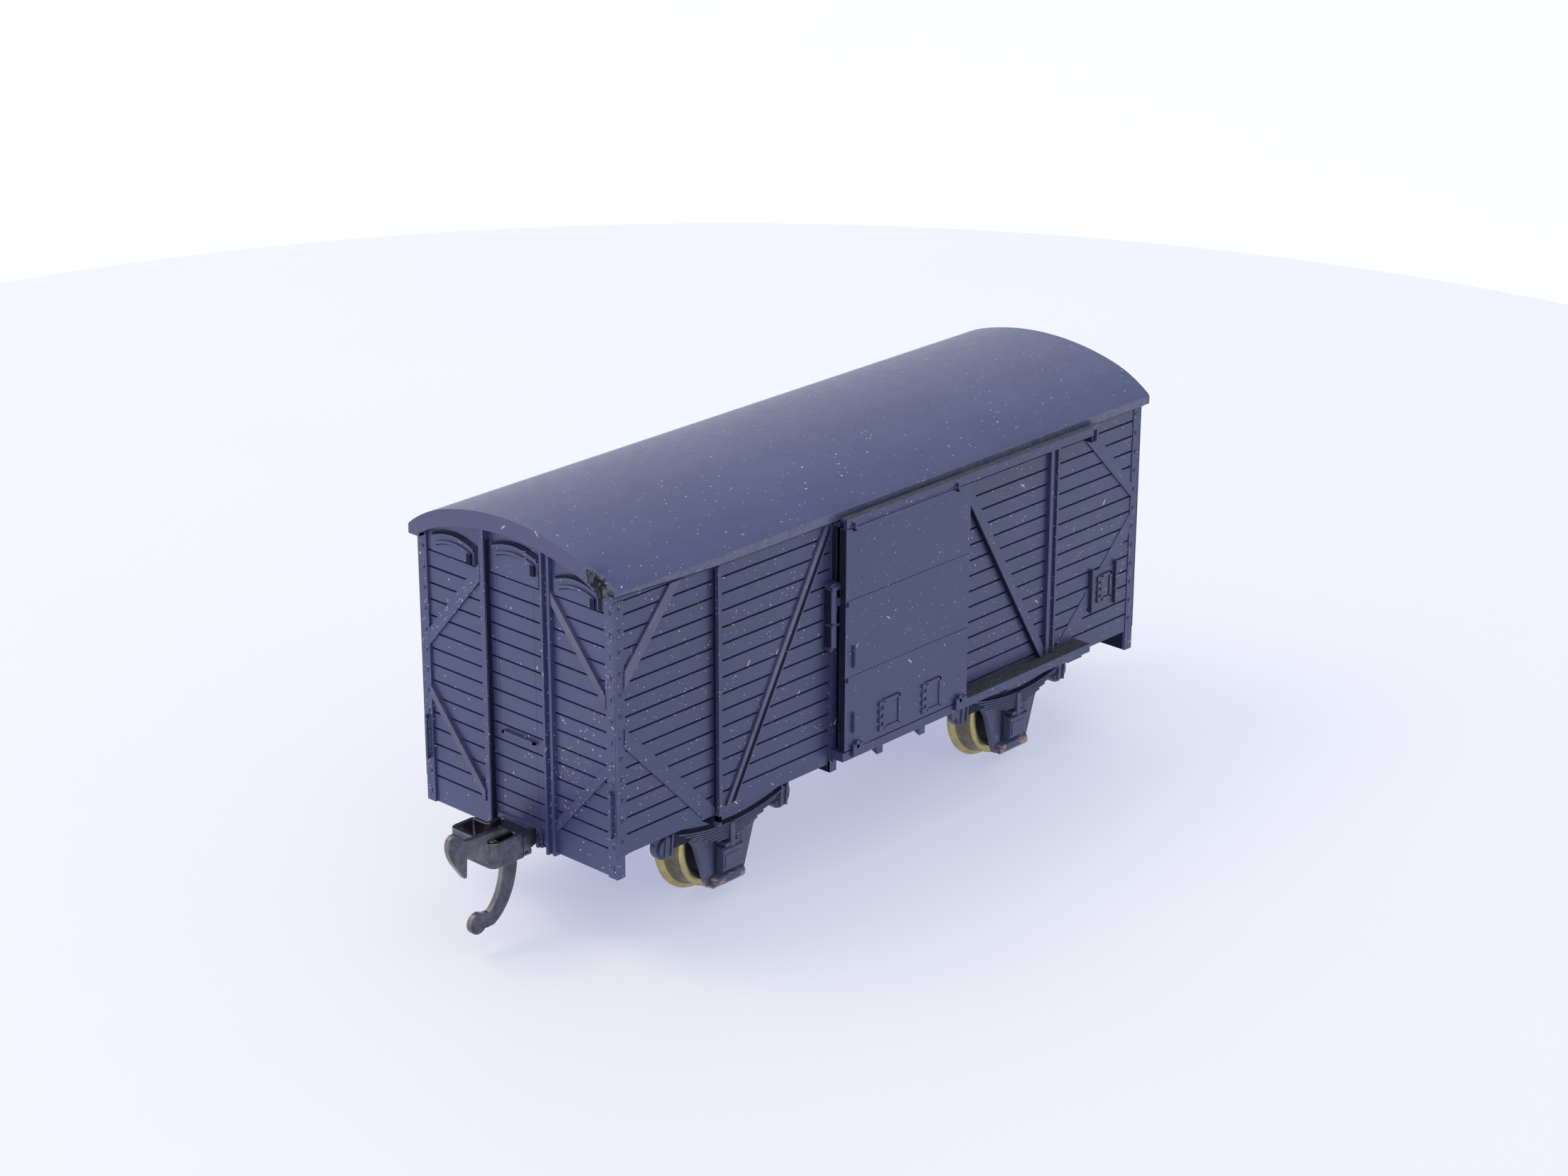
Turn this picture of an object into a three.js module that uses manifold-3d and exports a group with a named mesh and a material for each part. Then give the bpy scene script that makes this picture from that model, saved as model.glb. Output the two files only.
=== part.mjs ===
// Two-axle model box car for 16.5 mm gauge track, built as separate pieces.
// Millimetres. +X runs along the car, +Y across it, +Z up. Z = 0 is the bottom of the wheel flanges.
// The origin is midway between the axles and midway between the sides.
// Pieces of the -X end and of the -Y side are shaped first; a half turn about Z gives their twins.

import * as THREE from 'three';
import { mergeVertices } from 'three/addons/utils/BufferGeometryUtils.js';
import Module from 'manifold-3d';

const wasm = await Module();
wasm.setup();

// ---------- driving dimensions ----------

const HALF_LENGTH = 44.0; // centre to the planks of an end
const HALF_WIDTH = 15.0; // centre to the planks of a side
const WALL = 1.0; // thickness of sides and ends
const END_BOTTOM = 10.0;
const SIDE_BOTTOM = 12.9;
const EAVE = 41.54; // underside of the roof edge
const FIT = 0.05; // gap between glued or screwed neighbours

const AXLE_X = 24.8; // half of the wheelbase
const WHEEL_BACK = 7.25; // centre line to the back of a wheel
const WHEEL_FACE = 10.45; // centre line to the outer face of a wheel
const FLANGE_RADIUS = 6.5;
const TREAD_RADIUS = 5.6;
const RIM_RADIUS = 4.6; // inside of the brass tyre
const AXLE_Z = FLANGE_RADIUS;
const JOURNAL_RADIUS = 0.6;

const POST_OUT = 0.8; // how far posts stand out of the planks
const BAND_OUT = 0.25; // how far flat iron bands stand out

const DOOR_LEFT = -10.65;
const DOOR_RIGHT = 10.35;
const DOOR_FACE = 17.0; // centre line to the front of a door and of its rails
const DOOR_BACK = 15.95;
const DOOR_BOTTOM = 14.46;
const DOOR_TOP = 40.85;
const LUG_OUT = 0.45; // how far the door's corner lugs stand out of it
const RAIL_LEFT = -12.3;
const RAIL_RIGHT = 32.6;
const RAIL_BOTTOM = 40.95;
const RAIL_TOP = 42.5;
const LEDGE_LEFT = -11.0;
const LEDGE_RIGHT = 33.4;
const LEDGE_BOTTOM = 13.3;
const LEDGE_TOP = 14.36;

const FLOOR_BOTTOM = 13.9;
const FLOOR_TOP = 14.9;
const COUPLER_PIVOT_X = -38.5;
const SHANK_BOTTOM = 9.9;
const SHANK_TOP = 10.5;
const LOOP_BOTTOM = 9.8;
const LOOP_TOP = 12.8;
const HOOK_PIVOT_X = -48.3;
const HOOK_PIVOT_Z = 11.3;

const ROUND = 24; // sides of a wheel
const SMALL_ROUND = 12; // sides of pins, screws and holes

// ---------- materials: colour, roughness, metalness ----------

const PLASTIC = [0x2b2e3a, 0.42, 0.0];
const CASTING = [0x24262e, 0.55, 0.2];
const BRASS = [0xb39a5a, 0.38, 0.9];
const DARK_STEEL = [0x55524f, 0.38, 0.9];
const BRIGHT_STEEL = [0x9a9a98, 0.35, 1.0];
const WHEEL_BLACK = [0x16171c, 0.5, 0.0];

// ---------- solids ----------

// Welds a closed geometry, drops triangles that collapse on an axis and makes a solid of it.
function solid(geometry) {
  const bare = geometry.clone();
  bare.deleteAttribute('normal');
  bare.deleteAttribute('uv');
  const welded = mergeVertices(bare, 1e-5);
  const index = welded.index.array;
  const triangles = [];
  for (let i = 0; i < index.length; i += 3) {
    const [a, b, c] = [index[i], index[i + 1], index[i + 2]];
    if (a !== b && b !== c && c !== a) {
      triangles.push(a, b, c);
    }
  }
  return new wasm.Manifold(new wasm.Mesh({
    numProp: 3,
    vertProperties: new Float32Array(welded.attributes.position.array),
    triVerts: new Uint32Array(triangles),
  }));
}

function join(pieces) {
  return pieces.reduce((whole, piece) => whole.add(piece));
}

function cut(whole, pieces) {
  return pieces.reduce((rest, piece) => rest.subtract(piece), whole);
}

function block(x0, x1, y0, y1, z0, z1) {
  const box = new THREE.BoxGeometry(x1 - x0, y1 - y0, z1 - z0);
  box.translate((x0 + x1) / 2, (y0 + y1) / 2, (z0 + z1) / 2);
  return solid(box);
}

const ALONG_X = new THREE.Matrix4().makeBasis(
  new THREE.Vector3(0, 1, 0), new THREE.Vector3(0, 0, 1), new THREE.Vector3(1, 0, 0));
const ALONG_Y = new THREE.Matrix4().makeBasis(
  new THREE.Vector3(1, 0, 0), new THREE.Vector3(0, 0, 1), new THREE.Vector3(0, -1, 0));

function extruded(outline, depth) {
  const shape = outline instanceof THREE.Shape
    ? outline : new THREE.Shape(outline.map(([a, b]) => new THREE.Vector2(a, b)));
  return new THREE.ExtrudeGeometry(shape, { depth, bevelEnabled: false, curveSegments: 6 });
}

// Outline in y and z, extruded from x0 to x1.
function plateX(outline, x0, x1) {
  return solid(extruded(outline, x1 - x0).applyMatrix4(ALONG_X).translate(x0, 0, 0));
}

// Outline in x and z, extruded from y0 to y1.
function plateY(outline, y0, y1) {
  return solid(extruded(outline, y1 - y0).applyMatrix4(ALONG_Y).translate(0, y1, 0));
}

// Outline in x and y, extruded from z0 to z1.
function plateZ(outline, z0, z1) {
  return solid(extruded(outline, z1 - z0).translate(0, 0, z0));
}

// Profile of radius and height, run counter-clockwise, turned about a vertical line.
function turnedZ(profile, x, y, sides) {
  const points = profile.map(([r, h]) => new THREE.Vector2(r, h));
  const lathe = new THREE.LatheGeometry(points, sides);
  return solid(lathe.rotateX(Math.PI / 2).translate(x, y, 0));
}

// Profile of radius and y, run counter-clockwise, turned about a line along Y.
function turnedY(profile, x, z, sides) {
  const points = profile.map(([r, h]) => new THREE.Vector2(r, h));
  return solid(new THREE.LatheGeometry(points, sides).translate(x, 0, z));
}

function rodY(x, z, radius, y0, y1) {
  return turnedY([[0, y0], [radius, y0], [radius, y1], [0, y1]], x, z, SMALL_ROUND);
}

function rodZ(x, y, radius, z0, z1) {
  return turnedZ([[0, z0], [radius, z0], [radius, z1], [0, z1]], x, y, SMALL_ROUND);
}

// A flat band between two points of a wall's face: four corners of width measured level.
function slanted(a0, b0, a1, b1, width) {
  return [[a0, b0], [a0 + width, b0], [a1 + width, b1], [a1, b1]];
}

function ordered(outline) {
  return THREE.ShapeUtils.isClockWise(outline.map(([a, b]) => new THREE.Vector2(a, b)))
    ? [...outline].reverse() : outline;
}

// ---------- the car ----------

const car = new THREE.Group();

function add(name, body, look, halfTurn = false) {
  const { vertProperties, triVerts } = body.getMesh();
  const geometry = new THREE.BufferGeometry();
  geometry.setAttribute('position', new THREE.BufferAttribute(new Float32Array(vertProperties), 3));
  geometry.setIndex(new THREE.BufferAttribute(new Uint32Array(triVerts), 1));
  if (halfTurn) {
    geometry.scale(-1, -1, 1);
  }
  geometry.computeVertexNormals();
  const [color, roughness, metalness] = look;
  const mesh = new THREE.Mesh(geometry, new THREE.MeshStandardMaterial({ color, roughness, metalness }));
  mesh.name = name;
  car.add(mesh);
}

function addPair(nameA, nameB, body, look) {
  add(nameA, body, look);
  add(nameB, body, look, true);
}

// ---------- roof ----------

const CROWN = 47.1;
const CROWN_RADIUS = 36.0;
const CROWN_HALF = 10.0; // where the crown's arc passes into the shoulder's
const SHOULDER_RADIUS = 16.0;
const ROOF_HALF_WIDTH = 15.7;
const ROOF_HALF_LENGTH = 45.0;
const ROOF_SKIN = 1.0;
const ROOF_EDGE = 14.0; // inside of the roof's thick edge
const FASCIA_HEIGHT = 2.0; // rim under each end of the roof
const ROOF_STEPS = 20;

// Height of the roof's surface at a distance y from the centre line, less a skin.
function roofHeight(y, skin) {
  const distance = Math.abs(y);
  const crownZ = CROWN - CROWN_RADIUS;
  const reach = CROWN_HALF * (CROWN_RADIUS - skin) / CROWN_RADIUS;
  if (distance <= reach) {
    return crownZ + Math.sqrt((CROWN_RADIUS - skin) ** 2 - distance ** 2);
  }
  const shift = (CROWN_RADIUS - SHOULDER_RADIUS) / CROWN_RADIUS;
  const centreY = CROWN_HALF * shift;
  const centreZ = crownZ + Math.sqrt(CROWN_RADIUS ** 2 - CROWN_HALF ** 2) * shift;
  return centreZ + Math.sqrt((SHOULDER_RADIUS - skin) ** 2 - (distance - centreY) ** 2);
}

// Points of the roof's curve from -halfWidth to halfWidth, lowered by drop.
function roofCurve(halfWidth, skin, drop = 0) {
  const points = [];
  for (let i = 0; i <= ROOF_STEPS; i += 1) {
    const y = halfWidth * (2 * i / ROOF_STEPS - 1);
    points.push([y, roofHeight(y, skin) - drop]);
  }
  return points;
}

const roofOuter = roofCurve(ROOF_HALF_WIDTH, 0);
const roofInner = roofCurve(ROOF_EDGE, ROOF_SKIN);
const roofSection = [
  [ROOF_HALF_WIDTH, EAVE], ...[...roofOuter].reverse(), [-ROOF_HALF_WIDTH, EAVE],
  [-ROOF_EDGE, EAVE], ...roofInner, [ROOF_EDGE, EAVE],
];
const fasciaSection = [
  ...[...roofOuter].reverse(), [-ROOF_HALF_WIDTH, EAVE],
  [-ROOF_EDGE, EAVE], ...roofCurve(ROOF_EDGE, 0, FASCIA_HEIGHT), [ROOF_EDGE, EAVE], [ROOF_HALF_WIDTH, EAVE],
];
const fascia = plateX(ordered(fasciaSection), -ROOF_HALF_LENGTH, -HALF_LENGTH - FIT);
const farFascia = plateX(ordered(fasciaSection), HALF_LENGTH + FIT, ROOF_HALF_LENGTH);
const roof = join([plateX(ordered(roofSection), -ROOF_HALF_LENGTH, ROOF_HALF_LENGTH), fascia, farFascia]);
add('roof', roof, PLASTIC);

// ---------- side walls ----------

const SIDE_TOP = EAVE - FIT;
const DOORWAY_HALF = 9.8;
const SIDE_END = HALF_LENGTH - WALL - FIT;
const TONGUE_FRONT = 16.45;
const TONGUE_BACK = 16.05;
const SLOT_CLEARANCE = 0.15;

function sidePost(x0, x1, out, bottom, top) {
  return block(x0, x1, -HALF_WIDTH - out, -HALF_WIDTH + FIT, bottom, top);
}

function sideBand(outline, out) {
  return plateY(ordered(outline), -HALF_WIDTH - out, -HALF_WIDTH + FIT);
}

// The inward gusset under the foot of a post.
function postFoot(x0, x1, out, bottom) {
  const outer = -HALF_WIDTH - out;
  const inner = -HALF_WIDTH + WALL;
  const outline = [[outer, bottom], [inner - 0.4, bottom + 0.6], [inner, SIDE_BOTTOM + 0.3],
    [outer, SIDE_BOTTOM + 0.3]];
  return plateX(ordered(outline), x0, x1);
}

const sidePlanks = block(-SIDE_END, SIDE_END, -HALF_WIDTH, -HALF_WIDTH + WALL, SIDE_BOTTOM, SIDE_TOP);

const sideIrons = [
  // corner angles
  sidePost(-SIDE_END, -SIDE_END + 1.0, 0.12, SIDE_BOTTOM, SIDE_TOP),
  sidePost(SIDE_END - 1.0, SIDE_END, 0.12, SIDE_BOTTOM, SIDE_TOP),
  // post beside the long slanting tee
  sidePost(-29.55, -29.2, POST_OUT, 11.3, SIDE_TOP),
  sidePost(-29.2, -27.9, 0.12, SIDE_BOTTOM, SIDE_TOP),
  postFoot(-29.55, -28.9, POST_OUT, 11.3),
  // door post
  sidePost(-11.95, -11.4, 1.2, 11.3, RAIL_BOTTOM + 0.1),
  sidePost(-13.2, -11.95, 0.12, SIDE_BOTTOM, SIDE_TOP),
  postFoot(-11.95, -11.4, 1.2, 11.3),
  // double post right of the door
  sidePost(26.7, 27.35, POST_OUT, LEDGE_TOP - 0.1, RAIL_BOTTOM + 0.1),
  sidePost(27.85, 28.3, POST_OUT, LEDGE_TOP - 0.1, RAIL_BOTTOM + 0.1),
  // long slanting tee left of the door and the flat band right of it
  sideBand(slanted(-28.4, 13.2, -12.9, 41.4, 1.5), 0.15),
  sideBand(slanted(-27.9, 13.2, -12.4, 41.4, 0.55), POST_OUT),
  sideBand([[25.8, 14.3], [27.3, 14.3], [12.6, 40.98], [10.1, 40.98]], 0.7),
  // short bands to the corners
  sideBand([[-43.0, 31.0], [-42.9, 33.2], [-36.6, 41.45], [-34.6, 41.45]], BAND_OUT),
  sideBand([[43.0, 30.0], [42.9, 32.2], [36.3, 40.4], [34.3, 40.4], [34.3, 39.4]], BAND_OUT),
  sideBand([[-43.0, 27.4], [-43.0, 24.9], [-31.6, 13.0], [-29.6, 13.0], [-29.6, 13.5]], BAND_OUT),
  sideBand([[43.0, 28.6], [43.0, 26.1], [31.0, 14.3], [29.0, 14.3]], BAND_OUT),
  // card holder between two short uprights
  sideBand([[36.1, 17.0], [40.3, 17.0], [40.3, 22.6], [36.1, 22.6]], 0.12),
  sideBand([[35.7, 16.9], [36.1, 16.9], [36.1, 22.9], [35.7, 22.9]], 0.35),
  sideBand([[40.3, 16.9], [40.7, 16.9], [40.7, 22.9], [40.3, 22.9]], 0.35),
  // lower ledge and the brackets under it
  block(LEDGE_LEFT, LEDGE_RIGHT, -DOOR_FACE, -HALF_WIDTH + FIT, LEDGE_BOTTOM, LEDGE_TOP),
  ...[-4.0, 3.3, 9.1].map((x) => plateX(ordered([[-15.9, 11.6], [-14.0, 12.6], [-14.0, SIDE_BOTTOM + 0.1],
    [-15.9, LEDGE_BOTTOM + 0.1]]), x, x + 1.0)),
  // upper rail, standing in front of the roof's edge
  block(RAIL_LEFT, RAIL_RIGHT, -DOOR_FACE, -HALF_WIDTH + FIT, RAIL_BOTTOM, SIDE_TOP),
  block(RAIL_LEFT, RAIL_RIGHT, -DOOR_FACE, -ROOF_HALF_WIDTH - FIT, RAIL_BOTTOM, RAIL_TOP),
];

const sideCuts = [
  block(-DOORWAY_HALF, DOORWAY_HALF, -HALF_WIDTH - FIT, -HALF_WIDTH + 2 * WALL, LEDGE_TOP, 40.4),
  // slot on the underside of the upper rail for the door's tongue
  block(RAIL_LEFT + 1.2, RAIL_RIGHT - 0.2, -TONGUE_FRONT - SLOT_CLEARANCE, -TONGUE_BACK + SLOT_CLEARANCE,
    RAIL_BOTTOM - 1, RAIL_TOP - 0.4),
  // gap past the rail's end
  block(RAIL_RIGHT, RAIL_RIGHT + 1.1, -HALF_WIDTH - 1, -HALF_WIDTH + 0.6, 39.7, SIDE_TOP + 1),
];
const sideWall = cut(join([sidePlanks, ...sideIrons]), sideCuts);
addPair('side_wall_front', 'side_wall_back', sideWall, PLASTIC);

// ---------- end walls ----------

const SLOT_HALF = 2.8; // opening for the coupler
const SLOT_TOP = 11.5;
const endTop = roofCurve(ROOF_EDGE - FIT, ROOF_SKIN + FIT);
const endSection = [
  [-HALF_WIDTH, END_BOTTOM], [HALF_WIDTH, END_BOTTOM], [HALF_WIDTH, SIDE_TOP],
  [ROOF_EDGE - FIT, SIDE_TOP], ...[...endTop].reverse(), [-ROOF_EDGE + FIT, SIDE_TOP], [-HALF_WIDTH, SIDE_TOP],
];

function endPost(y0, y1, out, bottom, top) {
  return block(-HALF_LENGTH - out, -HALF_LENGTH + FIT, y0, y1, bottom, top);
}

function endBand(outline, out) {
  return plateX(ordered(outline), -HALF_LENGTH - out, -HALF_LENGTH + FIT);
}

// A vent panel with an arched top, its middle higher than its ends by rise.
function archPanel(y0, y1, bottom, springing, rise) {
  const points = [[y0, bottom], [y1, bottom]];
  for (let i = 0; i <= 6; i += 1) {
    const t = i / 6;
    points.push([y1 + (y0 - y1) * t, springing + rise * 4 * t * (1 - t)]);
  }
  return ordered(points);
}

function postTop(y) {
  return roofHeight(y, 0) - FASCIA_HEIGHT - FIT;
}

const VENT_BOTTOM = 40.2;
const VENTS = [[-13.1, -6.1, 42.4, 0.7], [-4.2, 3.5, 43.6, 0.7], [5.8, 13.0, 42.4, 0.7]];

const endPlanks = plateX(ordered(endSection), -HALF_LENGTH, -HALF_LENGTH + WALL);

const endIrons = [
  // corner angles
  endPost(-HALF_WIDTH, -HALF_WIDTH + 1.3, 0.4, END_BOTTOM, SIDE_TOP - 0.6),
  endPost(HALF_WIDTH - 1.3, HALF_WIDTH, 0.4, END_BOTTOM, SIDE_TOP - 0.6),
  // two posts
  endPost(4.0, 4.4, POST_OUT, END_BOTTOM - 0.2, postTop(4.4)),
  endPost(4.4, 5.3, 0.2, END_BOTTOM - 0.2, postTop(5.3)),
  endPost(-4.95, -4.6, POST_OUT, END_BOTTOM - 0.2, postTop(4.95)),
  endPost(-5.7, -5.2, 0.45, END_BOTTOM - 0.2, postTop(5.7)),
  // slanting bands, in the shape of a K on each side
  endBand([[5.2, 39.2], [5.2, 37.2], [12.2, 28.9], [13.8, 28.9], [13.8, 29.5]], BAND_OUT),
  endBand([[13.8, 22.4], [13.8, 24.4], [5.2, 14.0], [5.2, 12.0]], BAND_OUT),
  endBand([[-5.2, 39.7], [-5.2, 37.7], [-13.8, 28.9], [-13.8, 30.8]], BAND_OUT),
  endBand([[-13.8, 20.4], [-13.8, 22.4], [-5.2, 13.4], [-5.2, 11.4]], BAND_OUT),
  // vent panels
  ...VENTS.map(([y0, y1, springing, rise]) => endBand(
    archPanel(y0, y1, VENT_BOTTOM, springing, rise), BAND_OUT)),
  // stepped frame around the coupler's opening
  endPost(-3.5, 3.5, 0.35, END_BOTTOM, 12.1),
  endPost(-3.2, 3.2, 0.6, END_BOTTOM, 11.8),
  // grab irons
  endPost(14.25, 14.6, 0.75, 15.2, 20.4),
  endPost(-14.6, -14.25, 0.75, 14.8, 20.2),
  endPost(-2.8, 2.3, 0.45, 21.85, 22.2),
];
const endCuts = [
  block(-HALF_LENGTH - 2, -HALF_LENGTH + 2 * WALL, -SLOT_HALF, SLOT_HALF, END_BOTTOM - 1, SLOT_TOP),
];
const endWall = cut(join([endPlanks, ...endIrons]), endCuts);
addPair('end_wall_left', 'end_wall_right', endWall, PLASTIC);

// ---------- floor, weight and their screws ----------

const FLOOR_HALF_LENGTH = HALF_LENGTH - WALL - FIT;
const FLOOR_HALF_WIDTH = HALF_WIDTH - WALL - FIT;
const SILL_BOTTOM = 11.2;
const SCREW_CORE = 0.6; // radius of a screw's thread
const SCREW_HOLE = 0.7;
const WEIGHT_SCREW_X = 8.0;
const BRACKET_SCREW_OFFSET = 8.2; // from an axle to the screws of its bracket
const HEAD_RADIUS = 1.3;

const bracketScrewX = [-AXLE_X - BRACKET_SCREW_OFFSET, -AXLE_X + BRACKET_SCREW_OFFSET];
const screwHoles = [
  ...bracketScrewX.flatMap((x) => [x, -x]),
  -WEIGHT_SCREW_X, WEIGHT_SCREW_X, COUPLER_PIVOT_X, -COUPLER_PIVOT_X,
];
const floorPlate = join([
  block(-FLOOR_HALF_LENGTH, FLOOR_HALF_LENGTH, -FLOOR_HALF_WIDTH, FLOOR_HALF_WIDTH, FLOOR_BOTTOM, FLOOR_TOP),
  block(-13.2, 13.2, 2.4, 3.6, SILL_BOTTOM, FLOOR_BOTTOM + FIT),
  block(-13.2, 13.2, -3.6, -2.4, SILL_BOTTOM, FLOOR_BOTTOM + FIT),
  ...[-13.2, 12.0].map((x) => block(x, x + 1.2, -11.0, 11.0, SILL_BOTTOM, FLOOR_BOTTOM + FIT)),
  ...[COUPLER_PIVOT_X, -COUPLER_PIVOT_X].map((x) => rodZ(x, 0, 2.2, SHANK_TOP + FIT, FLOOR_BOTTOM + FIT)),
]);
const floor = cut(floorPlate, screwHoles.map((x) => rodZ(x, 0, SCREW_HOLE, SHANK_TOP - 1, FLOOR_TOP + 1)));
add('floor', floor, PLASTIC);

const WEIGHT_BOTTOM = FLOOR_TOP + FIT;
const WEIGHT_TOP = WEIGHT_BOTTOM + 1.5;
const weight = cut(
  block(-30, 30, -11, 11, WEIGHT_BOTTOM, WEIGHT_TOP),
  [-WEIGHT_SCREW_X, WEIGHT_SCREW_X].map((x) => rodZ(x, 0, SCREW_HOLE, WEIGHT_BOTTOM - 1, WEIGHT_TOP + 1)),
);
add('ballast_weight', weight, BRIGHT_STEEL);

// A screw driven upwards: domed head below headTop, thread up to tip.
function screw(x, headTop, tip) {
  return turnedZ([
    [0, headTop - 0.8], [HEAD_RADIUS * 0.8, headTop - 0.7], [HEAD_RADIUS, headTop],
    [SCREW_CORE, headTop], [SCREW_CORE, tip], [0, tip],
  ], x, 0, SMALL_ROUND);
}

// ---------- axle brackets ----------

const BAR_BOTTOM = 12.6;
const BAR_HALF = 0.8;
const GUARD_FRONT = 12.0; // centre line to the front of an axle guard
const GUARD_BACK = 11.2;
const SPRING_FRONT = 13.0;
const BOX_FRONT = 13.2;
const LEAVES = 5;
const LEAF = 0.4;
const SPRING_HALF = 8.2;

// Upper surface of the spring, lowest at the buckle.
function springTop(x) {
  return 8.6 + 1.3 * (x / SPRING_HALF) ** 2;
}

function springOutline(cx) {
  const points = [];
  for (let i = 0; i <= 10; i += 1) {
    const x = SPRING_HALF * (2 * i / 10 - 1);
    points.push([cx + x, springTop(x)]);
  }
  for (let leaf = 1; leaf <= LEAVES; leaf += 1) {
    const half = SPRING_HALF - 1.45 * (leaf - 1);
    points.push([cx + half, springTop(half) - leaf * LEAF]);
    if (leaf < LEAVES) {
      const next = half - 1.45;
      points.push([cx + next, springTop(next) - leaf * LEAF]);
    }
  }
  for (let leaf = LEAVES; leaf >= 1; leaf -= 1) {
    const half = SPRING_HALF - 1.45 * (leaf - 1);
    if (leaf < LEAVES) {
      const next = half - 1.45;
      points.push([cx - next, springTop(next) - leaf * LEAF]);
    }
    points.push([cx - half, springTop(half) - leaf * LEAF]);
  }
  return ordered(points);
}

function mirrored(cx, half) {
  const right = half.map(([x, z]) => [cx + x, z]);
  const left = [...half].reverse().map(([x, z]) => [cx - x, z]);
  return ordered([...right, ...left]);
}

// One axle guard with its spring and axle box, on the -Y side.
function axleGuard(cx) {
  const guard = mirrored(cx, [[2.85, 2.15], [4.2, 7.7], [5.0, 8.4], [6.9, 9.5], [9.0, 9.7], [9.0, 13.85]]);
  const shackle = mirrored(cx + 9.3, [[1.0, 8.2], [1.7, 9.2], [1.7, 11.2], [1.2, 12.0]]);
  const otherShackle = mirrored(cx - 9.3, [[1.0, 8.2], [1.7, 9.2], [1.7, 11.2], [1.2, 12.0]]);
  return join([
    plateY(guard, -GUARD_FRONT, -GUARD_BACK),
    plateY(springOutline(cx), -SPRING_FRONT, -GUARD_FRONT + FIT),
    plateY(shackle, -SPRING_FRONT, -GUARD_BACK),
    plateY(otherShackle, -SPRING_FRONT, -GUARD_BACK),
    block(cx - 0.9, cx + 0.9, -BOX_FRONT, -GUARD_FRONT + FIT, 6.5, 8.9),
    block(cx - 1.4, cx + 1.4, -BOX_FRONT, -GUARD_FRONT + FIT, 3.9, 6.4),
    block(cx - 1.6, cx + 1.6, -BOX_FRONT - 0.2, -GUARD_FRONT + FIT, 6.3, 6.8),
    block(cx - 2.85, cx + 2.85, -GUARD_FRONT - 0.25, -GUARD_BACK - 0.1, 1.95, 2.45),
  ]);
}

function halfTurned(body) {
  const { vertProperties, triVerts } = body.getMesh();
  const geometry = new THREE.BufferGeometry();
  geometry.setAttribute('position', new THREE.BufferAttribute(new Float32Array(vertProperties), 3));
  geometry.setIndex(new THREE.BufferAttribute(new Uint32Array(triVerts), 1));
  return solid(geometry.scale(-1, -1, 1));
}

const bracketBars = bracketScrewX.map((x) => (
  block(x - BAR_HALF, x + BAR_HALF, -GUARD_BACK - FIT, GUARD_BACK + FIT, BAR_BOTTOM, FLOOR_BOTTOM - FIT)));
const bracketPads = bracketScrewX.map((x) => rodZ(x, 0, 1.6, BAR_BOTTOM, FLOOR_BOTTOM - FIT));
const bracketCuts = [
  ...bracketScrewX.map((x) => rodZ(x, 0, SCREW_HOLE, BAR_BOTTOM - 1, FLOOR_BOTTOM + 1)),
  rodY(-AXLE_X, AXLE_Z, 0.8, -12.9, 12.9),
];
const bracket = cut(
  join([axleGuard(-AXLE_X), halfTurned(axleGuard(AXLE_X)), ...bracketBars, ...bracketPads]),
  bracketCuts,
);
addPair('axle_bracket_left', 'axle_bracket_right', bracket, CASTING);
bracketScrewX.forEach((x, i) => {
  addPair(`bracket_screw_left_${i + 1}`, `bracket_screw_right_${i + 1}`,
    screw(x, BAR_BOTTOM - 0.02, FLOOR_TOP), BRIGHT_STEEL);
});
addPair('weight_screw_left', 'weight_screw_right', screw(-WEIGHT_SCREW_X, FLOOR_BOTTOM - 0.02, WEIGHT_TOP), BRIGHT_STEEL);

// ---------- wheelsets ----------

const CENTRE_FIT = 0.01;
const AXLE_RADIUS = 1.0;

// Every wheel profile runs counter-clockwise in radius and distance from the centre line.
const tyreProfile = [
  [RIM_RADIUS, WHEEL_BACK], [FLANGE_RADIUS - 0.25, WHEEL_BACK], [FLANGE_RADIUS, WHEEL_BACK + 0.25],
  [FLANGE_RADIUS - 0.12, WHEEL_BACK + 0.65], [TREAD_RADIUS + 0.08, WHEEL_BACK + 1.0],
  [TREAD_RADIUS - 0.12, WHEEL_FACE - 0.2], [TREAD_RADIUS - 0.35, WHEEL_FACE], [RIM_RADIUS, WHEEL_FACE],
  [RIM_RADIUS, WHEEL_BACK],
];
const centreProfile = [
  [AXLE_RADIUS + CENTRE_FIT, 7.45], [1.9, 7.45], [2.1, 8.35], [3.9, 8.35], [4.1, 7.45],
  [RIM_RADIUS - CENTRE_FIT, 7.45], [RIM_RADIUS - CENTRE_FIT, 10.1], [4.2, 10.1], [4.0, 9.35], [2.0, 9.35],
  [1.8, 10.2], [AXLE_RADIUS + CENTRE_FIT, 10.2], [AXLE_RADIUS + CENTRE_FIT, 7.45],
];
const axleProfile = [
  [0, -12.75], [0.2, -12.75], [JOURNAL_RADIUS, -12.3], [JOURNAL_RADIUS, -10.6], [AXLE_RADIUS, -10.5],
  [AXLE_RADIUS, 10.5], [JOURNAL_RADIUS, 10.6], [JOURNAL_RADIUS, 12.3], [0.2, 12.75], [0, 12.75],
];

const acrossCar = (profile) => [...profile].reverse().map(([r, y]) => [r, -y]);

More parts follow.
